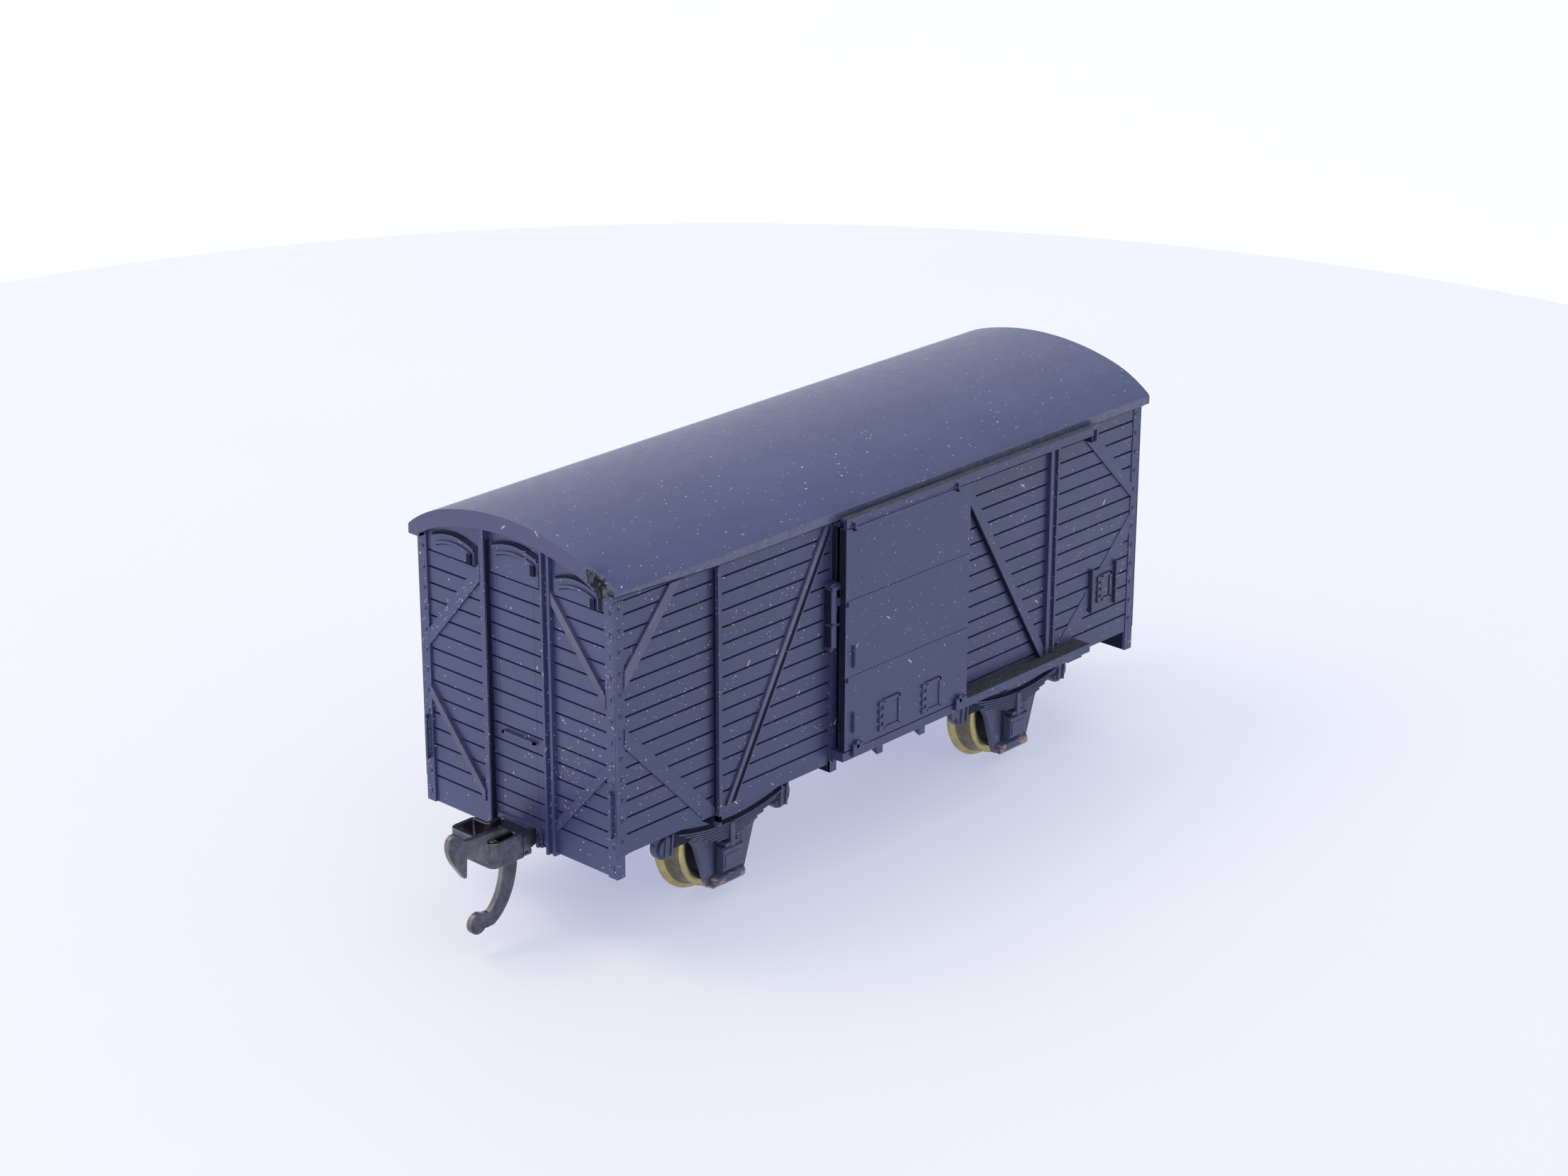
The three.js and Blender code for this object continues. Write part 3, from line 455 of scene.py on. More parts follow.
# the roof's plastic painted lighter than the body as a painted reflection; it also carries real grime, dust
# and the torn corner
LIT_ROOF = plastic("roof_plastic_lit", (0.042, 0.044, 0.112), (0.049, 0.052, 0.127), 0.35, 0.9, eave=True)
DOOR = plastic("door_plastic", INK, INK_LIGHT, 0.40, 0.7)
INSIDE = plastic("floor_plastic", (0.024, 0.028, 0.06), (0.03, 0.034, 0.07), 0.5, 0.3)
SHELF = dirt("shelf_dirt", (0.026, 0.025, 0.033), (0.088, 0.079, 0.078))
RAIL_DIRT = dirt("rail_dirt", (0.030, 0.032, 0.050), (0.078, 0.079, 0.104))
CASTING = casting()
BRASS = metal("tyre_brass", (0.44, 0.37, 0.145), (0.60, 0.515, 0.235), 0.34, 0.7, (0.17, 0.13, 0.07))
TREAD = metal("worn_tread", (0.15, 0.135, 0.085), (0.26, 0.235, 0.145), 0.42, 0.6, (0.12, 0.10, 0.07))
STEEL = metal("blackened_steel", (0.080, 0.081, 0.104), (0.160, 0.156, 0.182), 0.32, 0.3,
              (0.062, 0.058, 0.066), (2.4, 2.4, 0.3))
STEEL_EDGE = metal("worn_steel", (0.17, 0.155, 0.15), (0.28, 0.25, 0.23), 0.32, 0.5, (0.12, 0.11, 0.11))
PLAIN_STEEL = metal("plain_steel", (0.45, 0.44, 0.42), (0.60, 0.59, 0.57), 0.34, 0.3)
WHEEL = plastic("wheel_plastic", (0.010, 0.011, 0.018), (0.016, 0.017, 0.026), 0.55, 0.25)


# ---------- roof ----------

# half the roof's length and width, where its ceiling ends, and its lower edge with the rim above it
ROOF_LENGTH = 45.0
ROOF_WIDTH = 15.7
ROOF_EDGE = 14.0
EAVE = 41.54
RIM = 1.05

# the roof's section: a wide arc over the middle and a tighter one on each side from JOIN outward
CROWN_RADIUS = 36.0
CROWN_CENTRE = 11.1
SHOULDER_RADIUS = 16.0
JOIN = 10.0

# the near eave bends upward from here toward its left end
BEND_FROM = -29.0
BEND_LENGTH = 14.6
BEND_RISE = 0.75
RIM_GAP = 0.12

# the dent near the left front corner, and the reach of the corner's own crumple
DENT = (-44.6, -13.6)
DENT_REACH = (1.5, 1.9)
CORNER_REACH = 1.3


def roof_z(y, skin=0.0):
    """Height of the roof's face at y, or of a face skin mm inside it."""
    d = abs(y)
    if d <= JOIN * (CROWN_RADIUS - skin) / CROWN_RADIUS:
        return CROWN_CENTRE + math.sqrt((CROWN_RADIUS - skin) ** 2 - d * d)
    apart = CROWN_RADIUS - SHOULDER_RADIUS
    centre = CROWN_CENTRE + math.sqrt(CROWN_RADIUS ** 2 - JOIN ** 2) * apart / CROWN_RADIUS
    return centre + math.sqrt((SHOULDER_RADIUS - skin) ** 2 - (d - JOIN * apart / CROWN_RADIUS) ** 2)


def rim_lift(x):
    """How far the near eave's lower edge stands above EAVE."""
    return RIM_GAP + BEND_RISE * max(0.0, min(1.0, (BEND_FROM - x) / BEND_LENGTH))


def spread(half, n):
    """n + 1 even places from half to -half."""
    return [half * (1 - 2 * i / n) for i in range(n + 1)]


def make_roof():
    """A shell of rings along X with a rim under each end; the near left corner is dented."""
    side = [(ROOF_WIDTH, EAVE), (ROOF_WIDTH, EAVE + 0.55), (ROOF_WIDTH, EAVE + RIM)]
    outer = list(side)
    # points a little closer toward the eaves
    for t in spread(1, 72):
        y = 15.52 * math.copysign(abs(t) ** 0.86, t)
        outer.append((y, roof_z(y)))
    outer += [(-y, z) for y, z in side[::-1]]
    n = len(outer)
    inner = []
    for y, z in outer:
        w = max(-ROOF_EDGE, min(ROOF_EDGE, y * 0.92))
        inner.append((w, EAVE if z <= EAVE + 0.01 else roof_z(w, 1.0)))
    close = [ROOF_LENGTH, 44.75, 44.4, 44.05, 43.5, 42.5, 41.0]
    stations = [-x for x in close] + [-38 + 4 * i for i in range(20)] + close[::-1]
    rng = random.Random(7)
    form = Form()
    verts = []
    for ring in (outer, inner):
        for x in stations:
            for y, z in ring:
                dx = dy = dz = 0.0
                away = math.hypot((x - DENT[0]) / DENT_REACH[0], (y - DENT[1]) / DENT_REACH[1])
                dent = max(0.0, 1 - away)
                if dent > 0 and ring is outer:
                    dz = -1.0 * dent * rng.uniform(0.2, 1.0)
                    dx = 0.5 * dent * rng.uniform(0.0, 1.0)
                    dy = 0.3 * dent * rng.uniform(-1.0, 1.0)
                if y < -13.9 and z < EAVE + 1.04:
                    dz += rim_lift(x) * (1 - (z - EAVE) / RIM)
                tip = math.hypot((x + ROOF_LENGTH) / CORNER_REACH, (y + ROOF_WIDTH) / CORNER_REACH)
                dx += 0.8 * max(0.0, 1 - tip)
                verts.append((x + dx, y + dy, z + dz))
    faces = []
    count = len(stations)

    def at(shell, s, k):
        return (shell * count + s) * n + k

    for s in range(count - 1):
        for k in range(n - 1):
            faces.append((at(0, s, k), at(0, s + 1, k), at(0, s + 1, k + 1), at(0, s, k + 1)))
            faces.append((at(1, s, k + 1), at(1, s + 1, k + 1), at(1, s + 1, k), at(1, s, k)))
        for k in (0, n - 1):
            faces.append((at(0, s, k), at(1, s, k), at(1, s + 1, k), at(0, s + 1, k)))
    for s in (0, count - 1):
        for k in range(n - 1):
            faces.append((at(0, s, k), at(0, s, k + 1), at(1, s, k + 1), at(1, s, k)))
    form.put(verts, faces)
    # rim under each end of the roof, cut shorter at the dent
    ys = spread(ROOF_EDGE, 48)
    cut = [(-15.1, 42.8), (-15.2, EAVE + 0.9), (-14.0, EAVE + 0.3)]
    whole = [(-15.5, 42.6), (-15.6, EAVE + 0.12), (-14.0, EAVE)]
    for x0, x1, corner in ((0.02 - ROOF_LENGTH, -44.05, cut), (44.05, ROOF_LENGTH - 0.02, whole)):
        rim = [(y, roof_z(y) - 0.4) for y in ys] + corner
        rim += [(y, roof_z(y) - 2.0) for y in ys[::-1]] + [(14.0, EAVE), (15.6, EAVE), (15.5, 42.6)]
        form.along_x(rim, x0, x1)
    piece("roof_shell", form, "car_body", [LIT_ROOF, BODY_EDGE], ["roof"], 0.10, 32)


make_roof()


# ---------- side walls ----------

# the wall's face, and where the shapes and bands laid on it start inside it
FACE = -15.0
BED = -14.6
BAND_BED = -14.7
# the plane of the door's face, the ledge's edge and the rail's hood
DOOR_FACE = -17.0
WALL_BOTTOM = 12.55
WALL_TOP = 41.49
LEDGE_TOP = 14.34
SIDE_GROOVES = [39.84 - 1.92 * i for i in range(14)]
# half a groove's width, and its depth
SLOT = 0.11
SLOT_DEPTH = 0.44


def boards(low, high, grooves, lay, a, b, face, back):
    """Boards from low to high, parted at the grooves by slots. lay puts (face depth, height) outlines."""
    edges = [low] + sorted(g for g in grooves if low < g < high) + [high]
    for z0, z1 in zip(edges, edges[1:]):
        c0 = SLOT if z0 != low else 0.02
        c1 = SLOT if z1 != high else 0.02
        deep = face + SLOT_DEPTH
        lay([(back, z0), (back, z1), (deep, z1), (deep, z1 - c1), (face, z1 - c1), (face, z0 + c0),
             (deep, z0 + c0), (deep, z0)], a, b)


def band(form, outline, out, slot=PLAIN):
    """A flat shape laid on the wall, out mm thick."""
    form.along_y(outline, FACE - out, BAND_BED, slot)


def raised(form, x0, x1, out, z0, z1, slot=PLAIN):
    """A block on the wall, out mm thick."""
    form.box(x0, x1, FACE - out, BED, z0, z1, slot)


def side_form():
    """The near side wall."""
    f = Form()
    for x0, x1 in ((-42.9, -9.85), (9.85, 42.9)):
        boards(WALL_BOTTOM, WALL_TOP, SIDE_GROOVES, f.along_x, x0, x1, FACE, -14.0)
    f.box(-9.9, 9.9, FACE + 0.02, -14.02, WALL_BOTTOM, LEDGE_TOP)
    f.box(-9.9, 9.9, FACE + 0.02, -14.02, 40.42, 41.48)
    # strip that closes the wall up to the bent eave
    band(f, [(-44.2, 41.3), (BEND_FROM, 41.3), (BEND_FROM, 41.5), (-44.2, 42.33)], 0.0)
    # fillet under the eave
    for x0, x1, lift in ((-44.2, BEND_FROM, 0.72), (BEND_FROM, -11.3, 0.0), (34.6, 44.2, 0.0)):
        fillet = [(-14.9, 41.15), (-15.02, 41.15), (-15.62, 41.68), (-14.9, 41.68)]
        f.prism([(x0, y, z + lift) for y, z in fillet], [(x1, y, z) for y, z in fillet])
    # corner angles with their rivets
    for s in (-1, 1):
        x0, x1 = sorted((s * 44.2, s * 42.85))
        raised(f, x0, x1, 0.1, WALL_BOTTOM, WALL_TOP)
        f.box(s * 44.19 - 0.05, s * 44.19 + 0.05, FACE - 0.14, FACE, 12.95, 41.3, WORN)
        for i in range(12):
            f.rivet(s * 43.4, FACE - 0.1, 14.2 + 2.4 * i, "-y", 0.23, 0.2)
    # first post, its flat leg and its foot, with painted shade on the post's left face and round the foot
    raised(f, -29.55, -29.22, 0.8, 11.9, WALL_TOP)
    f.box(-29.57, -29.53, -15.42, -14.95, 12.9, 41.3, PAINTED_SHADE)
    f.box(-29.55, -29.22, -15.8, -13.1, 11.3, 12.6)
    f.box(-29.57, -29.2, -15.02, -13.08, 11.28, 12.95, PAINTED_SHADE)
    raised(f, -29.22, -28.3, 0.13, WALL_BOTTOM, WALL_TOP)
    # long slanting tee: flat leg and ridge, with painted shade in the channel between them
    band(f, [(-27.85, 13.15), (-27.25, 13.15), (-11.4, 41.46), (-12.12, 41.46)], 0.26, WORN)
    band(f, [(-27.27, 13.15), (-26.4, 13.15), (-10.62, 41.46), (-11.42, 41.46)], 0.05, PAINTED_SHADE)
    band(f, [(-26.42, 13.3), (-26.25, 13.3), (-10.48, 41.46), (-10.65, 41.46)], 0.2, WORN)
    # door post: a flat strip with a foot, its upper part hollow and painted dark as shade, with painted shade
    # under the foot
    raised(f, -11.25, -10.15, 0.28, 11.6, 27.0)
    raised(f, -11.25, -10.15, 0.1, 26.9, 41.45, PAINTED_SHADE)
    raised(f, -11.27, -11.17, 0.28, 26.9, 41.45)
    raised(f, -10.36, -10.26, 0.22, 33.9, 41.45)
    f.box(-11.25, -10.2, -15.26, -13.3, 11.62, 12.95)
    f.box(-11.27, -10.18, -14.98, -13.28, 11.6, 12.95, PAINTED_SHADE)
    # latch: a rounded bar with its cap, arm and collars, in a bed of painted shade, and painted shade on the
    # bar's left side
    raised(f, -12.25, -10.6, 0.06, 26.8, 34.0, PAINTED_SHADE)
    bar = [(-11.88, -15.05), (-11.88, -15.7)] + arc(-11.36, -15.6, 0.52, 200, 340, 8) + [(-10.84, -15.05)]
    f.along_z(bar, 27.0, 34.1)
    f.box(-11.9, -11.86, -15.9, -15.02, 27.1, 33.8, PAINTED_SHADE)
    f.along_x([(-15.05, 33.85), (-16.25, 33.85), (-16.25, 34.25), (-15.9, 34.55), (-15.05, 34.6)],
              -12.05, -10.75)
    f.box(-11.98, -10.78, -16.2, -15.05, 29.55, 29.8)
    f.box(-11.2, -10.72, -16.24, -15.3, 31.9, 32.8)
    f.box(-12.0, -11.3, -15.9, -15.05, 26.6, 27.05)
    # double post right of the door
    raised(f, 26.72, 27.3, 0.5, 14.3, 41.0)
    raised(f, 27.3, 27.9, 0.25, 14.3, 41.0)
    raised(f, 27.9, 28.25, 0.6, 14.3, 41.0)
    # flat band with a standing edge right of the door, and painted shade along the edge's left side
    band(f, [(25.85, 14.3), (27.3, 14.3), (13.0, 38.6), (11.6, 40.9), (10.2, 40.9)], 0.28)
    band(f, [(25.72, 14.3), (26.3, 14.3), (11.5, 39.2), (10.95, 39.2)], 0.66)
    band(f, [(25.66, 14.3), (25.78, 14.3), (11.03, 39.1), (10.91, 39.1)], 0.60, PAINTED_SHADE)
    # short bands to the corners
    band(f, [(-43.0, 31.4), (-42.9, 33.6), (-36.1, 41.46), (-34.5, 41.46), (-34.9, 41.0)], 0.24, WORN)
    band(f, [(43.0, 30.0), (42.8, 31.9), (35.9, 39.6), (35.9, 40.95), (33.6, 40.95), (33.6, 39.6)], 0.22)
    band(f, [(-43.0, 27.1), (-43.0, 24.9), (-31.4, 12.8), (-29.6, 12.7), (-29.6, 13.6)], 0.22)
    band(f, [(43.0, 28.1), (43.0, 25.7), (31.6, 14.35), (29.0, 14.35)], 0.08)
    # card holder on the right, with painted shade left of each upright
    for x in (35.45, 40.05):
        raised(f, x, x + 0.27, 0.5, 17.2, 22.8)
        raised(f, x - 0.2, x + 0.02, 0.14, 17.4, 22.6, PAINTED_SHADE)
    raised(f, 35.7, 40.1, 0.12, 17.3, 22.4)
    ticket(f, 36.9, 18.2, 2.5, 3.4, FACE - 0.12, 0.22)
    # ledge and the brackets under it
    f.box(-11.0, 33.4, DOOR_FACE, BED, 13.3, LEDGE_TOP)
    f.box(-11.0, 33.4, -15.6, BED, 12.92, 13.35)
    for x in (-4.0, 3.3, 9.1):
        f.along_x([(-15.9, 11.65), (-15.9, 13.4), (-14.05, 13.4), (-14.05, 12.5)], x, x + 1.02)
    f.along_x([(-16.0, 12.4), (-16.0, 13.4), (-14.05, 13.4), (-14.05, 12.9)], 30.4, 33.2)
    # upper rail: hood with a slot beneath for the door's tongue, a thin line of painted shade on it and a
    # block of painted shade past its end
    f.along_x([(DOOR_FACE, 40.95), (-16.62, 40.95), (-16.62, 41.62), (-16.05, 41.62), (-16.05, 42.0),
               (DOOR_FACE, 42.0)], -10.65, 32.6)
    f.box(-10.65, 32.6, -15.9, BED, 40.95, WALL_TOP)
    f.box(32.3, 32.62, -16.98, -15.0, 40.97, 41.98)
    f.box(-7.6, 7.6, -17.02, -16.9, 41.12, 41.17, PAINTED_SHADE)
    f.box(32.62, 34.2, DOOR_FACE, -16.05, 41.62, 42.0)
    f.box(32.64, 33.62, -16.7, BED, 40.0, 41.6, PAINTED_SHADE)
    # frame round the gap past the rail's end, whose black is painted shade
    raised(f, 33.75, 34.6, 0.25, 39.6, WALL_TOP)
    return f


def ticket(f, x, z, w, h, face, out):
    """A small label frame: a rim, its clips on the left, and a slightly sunk plate, with painted shade along
    the plate's inner edges and under each clip.
    """
    f.box(x, x + w, face - 0.08, face + 0.2, z, z + h)
    f.box(x + 0.55, x + w, face - out, face + 0.1, z + h - 0.34, z + h)
    f.box(x + w - 0.34, x + w, face - out, face + 0.1, z + 0.1, z + h)
    f.box(x + 0.55, x + w, face - out, face + 0.1, z, z + 0.34)
    f.box(x + 0.5, x + 0.85, face - out, face + 0.1, z + 0.1, z + h - 0.1)
    f.box(x + w - 0.46, x + w - 0.33, face - 0.1, face + 0.1, z + 0.3, z + h - 0.3, PAINTED_SHADE)
    f.box(x + 0.8, x + w - 0.35, face - 0.1, face + 0.1, z + 0.33, z + 0.45, PAINTED_SHADE)
    f.box(x + 0.84, x + 0.96, face - 0.1, face + 0.1, z + 0.4, z + h - 0.4, PAINTED_SHADE)
    for k in range(4):
        zk = z + 0.1 + k * (h - 0.75) / 3
        f.box(x - 0.15, x + 0.6, face - out, face + 0.1, zk, zk + 0.52)
        f.box(x - 0.2, x + 0.5, face - 0.1, face + 0.1, zk - 0.16, zk + 0.02, PAINTED_SHADE)


SIDE_FORM = side_form()
SHELF_FORM = Form()
SHELF_FORM.box(10.5, 33.2, -16.85, -14.98, 14.3, 14.42)
RAIL_FORM = Form()
RAIL_FORM.box(-10.6, 32.55, -16.96, -16.08, 41.9, 42.03)
for name, form, shelf, rail in (
        ("front", SIDE_FORM, SHELF_FORM, RAIL_FORM),
        ("back", SIDE_FORM.turned(), SHELF_FORM.turned(), RAIL_FORM.turned())):
    piece("rail_dirt_" + name, rail, "car_body", [RAIL_DIRT], [], 0.03)
    piece("side_planks_" + name, form, "car_body", [BODY, BODY_EDGE, SHADE_PAINT], ["side_wall_" + name],
          0.035, edge_slot=WORN)
    piece("ledge_dirt_" + name, shelf, "car_body", [SHELF], [], 0.03)


# ---------- end walls ----------

# the end's face and back, and where the shapes and bands laid on it start inside it
END = -44.0
END_BACK = -43.05
END_BED = -43.6
END_BAND_BED = -43.7
END_BOTTOM = 10.0
END_TOP = 41.45
# the coupler's opening: half its width, and its top
OPENING = 2.8
OPENING_TOP = 11.5
END_GROOVES = [39.92 - 1.912 * i for i in range(15)]


def end_band(form, outline, out, slot=PLAIN):
    """A flat shape laid on the end, out mm thick."""
    form.along_x(outline, END - out, END_BAND_BED, slot)


def arch(y0, y1, spring, rise, n=14):
    """Points of a low arch from y0 to y1."""
    return [(y0 + (y1 - y0) * i / n, spring + rise * 4 * (i / n) * (1 - i / n)) for i in range(n + 1)]


def arch_strip(f, y0, y1, spring, rise, width, out, slot=PLAIN):
    """A raised arched rib from y0 to y1."""
    upper = arch(y0, y1, spring, rise)
    end_band(f, upper + [(y, z - width) for y, z in upper][::-1], out, slot)


def end_form():
    """The left end wall."""
    f = Form()
    for y0, y1 in ((-15.0, -OPENING), (OPENING, 15.0)):
        boards(END_BOTTOM, END_TOP, END_GROOVES, f.along_y, y0, y1, END, END_BACK)
    above = [g for g in END_GROOVES if g > 12]
    boards(OPENING_TOP, END_TOP, above, f.along_y, -2.85, 2.85, END, END_BACK)
    gable = [(y, roof_z(y, 1.06)) for y in spread(13.9, 40)] + [(-13.9, 41.4), (13.9, 41.4)]
    f.along_x(gable, END + 0.01, -43.06)
    # corner angles
    for y0, y1 in ((-15.03, -13.72), (13.72, 15.03)):
        f.along_z([(END - 0.28, y0), (END - 0.28, y1), (END_BED, y1), (END_BED, y0)], END_BOTTOM, 42.2)
        for i in range(13):
            f.rivet(END - 0.28, (y0 + y1) / 2 - 0.05, 11.2 + 2.42 * i, "-x", 0.23, 0.2)
    # left post, with painted shade on its right side
    f.box(END - 0.8, END_BED, 3.98, 4.42, 9.8, roof_z(4.4) - 2.02)
    f.box(END - 0.6, END + 0.1, 3.96, 4.0, 10.0, 43.6, PAINTED_SHADE)
    f.box(END - 0.22, END_BED, 4.4, 5.35, 9.8, roof_z(5.3) - 2.02)
    # right post: ridge, riveted leg and outer rib
    f.box(END - 0.8, END_BED, -4.95, -4.62, 9.8, roof_z(4.95) - 2.02)
    f.box(END - 0.3, END_BED, -5.35, -4.9, 9.8, roof_z(5.3) - 2.02)
    f.box(END - 0.5, END_BED, -5.72, -5.35, 9.8, roof_z(5.7) - 2.02)
    for i in range(8):
        f.rivet(END - 0.3, -5.14, 13.2 + 3.9 * i, "-x", 0.19, 0.2)
    # slanting bands
    end_band(f, [(5.3, 38.5), (5.3, 40.6), (13.75, 30.8), (13.75, 28.9), (13.45, 29.2)], 0.26)
    end_band(f, [(13.75, 24.2), (13.75, 22.9), (5.3, 12.8), (5.3, 14.1)], 0.42, WORN)
    end_band(f, [(-5.6, 40.5), (-5.6, 39.1), (-13.75, 29.3), (-13.75, 30.8)], 0.36, WORN)
    end_band(f, [(-13.75, 22.9), (-13.75, 21.5), (-5.6, 12.4), (-5.6, 13.9)], 0.24)
    # vents: arched board, raised hood over it and a small block at its right end; the block, the board's
    # right edge and two arched ribs are painted dark as shade
    for y0, y1, spring, rise in ((-13.1, -6.1, 42.2, 0.75), (-4.1, 3.5, 43.5, 0.75), (5.8, 13.0, 42.2, 0.75)):
        f.along_x([(y0, 40.05), (y1, 40.05)] + arch(y1, y0, spring, rise), END - 0.14, END_BED)
        arch_strip(f, y0 + 0.05, y1 - 0.2, spring, rise, 0.32, 0.18, PAINTED_SHADE)
        f.box(END - 0.17, END_BED, y0 + 0.02, y0 + 0.32, 40.1, spring + 0.05, PAINTED_SHADE)
        arch_strip(f, y0 + 0.35, y1 - 0.3, spring - 0.33, rise, 0.28, 0.34)
        arch_strip(f, y0 + 0.75, y1 - 0.75, spring - 0.95, rise * 0.8, 0.34, 0.34)
        arch_strip(f, y0 + 0.78, y1 - 0.8, spring - 1.28, rise * 0.8, 0.16, 0.17, PAINTED_SHADE)
        f.box(END - 0.4, END_BED, y0 + 0.75, y0 + 1.35, spring - 2.2, spring - 0.95, PAINTED_SHADE)
    # stepped frame round the coupler's opening
    for half, top, out in ((3.5, 12.1, 0.34), (3.15, 11.8, 0.6)):
        for y0, y1 in ((-half, -OPENING), (OPENING, half)):
            f.box(END - out, END_BED, y0, y1, END_BOTTOM, OPENING_TOP)
        f.along_x([(-half, OPENING_TOP), (half, OPENING_TOP), (half, top - 0.35), (half - 0.35, top),
                   (0.35 - half, top), (-half, top - 0.35)], END - out, END_BED)
    # shaded back of the end's lower part
    for y0, y1 in ((-14.6, -3.7), (3.7, 14.6)):
        f.box(-43.07, -43.0, y0, y1, 10.05, 12.5, PAINTED_SHADE)
    # grab irons
    for y, z0, z1 in ((14.42, 15.2, 20.4), (-14.42, 14.8, 20.2)):
        f.box(END - 0.74, END - 0.46, y - 0.16, y + 0.16, z0, z1)
        for z in (z0, z1 - 0.35):
            f.box(END - 0.6, END_BAND_BED, y - 0.16, y + 0.16, z, z + 0.35)
    f.box(END - 0.44, END - 0.2, -2.8, 2.3, 21.9, 22.2)
    for y in (-2.8, 1.95):
        f.box(END - 0.44, END_BAND_BED, y, y + 0.35, 21.9, 22.2)
    return f


END_FORM = end_form()
for name, form in (("left", END_FORM), ("right", END_FORM.turned())):
    piece("end_planks_" + name, form, "car_body", [END_BODY_LIT, BODY_EDGE, SHADE_PAINT], ["end_wall_" + name],
          0.035, edge_slot=WORN)


# ---------- doors ----------

def door_form():
    """The near door."""
    f = Form()
    seams = [23.3, 32.4]
    edges = [14.46] + seams + [40.85]
    for z0, z1 in zip(edges, edges[1:]):
        c0 = 0.055 if z0 in seams else 0.02
        c1 = 0.055 if z1 in seams else 0.02
        f.along_x([(-15.95, z0), (-15.95, z1), (DOOR_FACE + 2 * c1, z1), (DOOR_FACE, z1 - c1),
                   (DOOR_FACE, z0 + c0), (DOOR_FACE + 2 * c0, z0)], -10.65, 10.35)
    f.box(-10.3, 10.0, -16.44, -16.06, 40.8, 41.5)
    # painted shade: a dark sheet on the door's left end face, and dark notches at the seams
    f.box(-10.68, -10.6, -16.97, -15.98, 14.5, 40.82, PAINTED_SHADE)
    for z in (31.7, 22.7):
        f.box(-10.7, -10.22, -17.04, -16.3, z, z + 0.65, PAINTED_SHADE)
    for x in (-9.5, 7.87):
        f.box(x - 0.11, x + 0.11, -17.34, -17.03, 40.55, 41.5)
        f.box(x - 0.11, x + 0.11, -17.34, -16.9, 40.5, 40.82)
        f.box(x - 0.5, x - 0.05, -17.16, -17.03, 40.98, 41.16)
    for x0, x1 in ((-9.6, -8.0), (8.1, 10.0)):
        f.box(x0, x1, -17.24, -16.9, 14.5, 15.1)
        f.box(x0 + 0.5, x0 + 0.95, -17.43, -16.9, 14.5, 15.4)
        f.box(x0, x1, -17.43, -17.06, 13.6, 15.0)
    for z0, z1 in ((24.3, 26.9), (16.4, 18.9)):
        f.box(-9.52, -9.2, -17.3, -16.9, z0, z1)
        f.box(-9.44, -9.28, -17.38, -16.9, z0 + 0.25, z1 - 0.25)
    ticket(f, -4.95, 15.2, 3.4, 3.7, DOOR_FACE, 0.24)
    ticket(f, 2.45, 15.0, 3.1, 3.7, DOOR_FACE, 0.24)
    return f


DOOR_FORM = door_form()
for name, form in (("front", DOOR_FORM), ("back", DOOR_FORM.turned())):
    piece("door_leaf_" + name, form, "sliding_door_" + name, [DOOR, BODY_EDGE, SHADE_PAINT], ["door_" + name],
          0.035, edge_slot=WORN)


# ---------- axle brackets ----------

AXLE = 24.8
# leaf spring: its leaves, their pitch, half its length, its middle's top and how far its ends rise
LEAVES = 7
LEAF = 0.29
SPRING = 8.2
SPRING_TOP = 9.6
SPRING_RISE = 1.2
# arms and rings of the bracket under the floor
ARM_LOW, ARM_TOP = 12.6, 13.82
RING = 1.62
BORE = 0.7
# the brackets' other material slots: painted shade in the gaps and the sill's plastic
GAP_SHADE, SILL = 1, 2


def spring_z(x):
    """Height of the upper leaf at x from the axle."""
    return SPRING_TOP + SPRING_RISE * (x / SPRING) ** 2


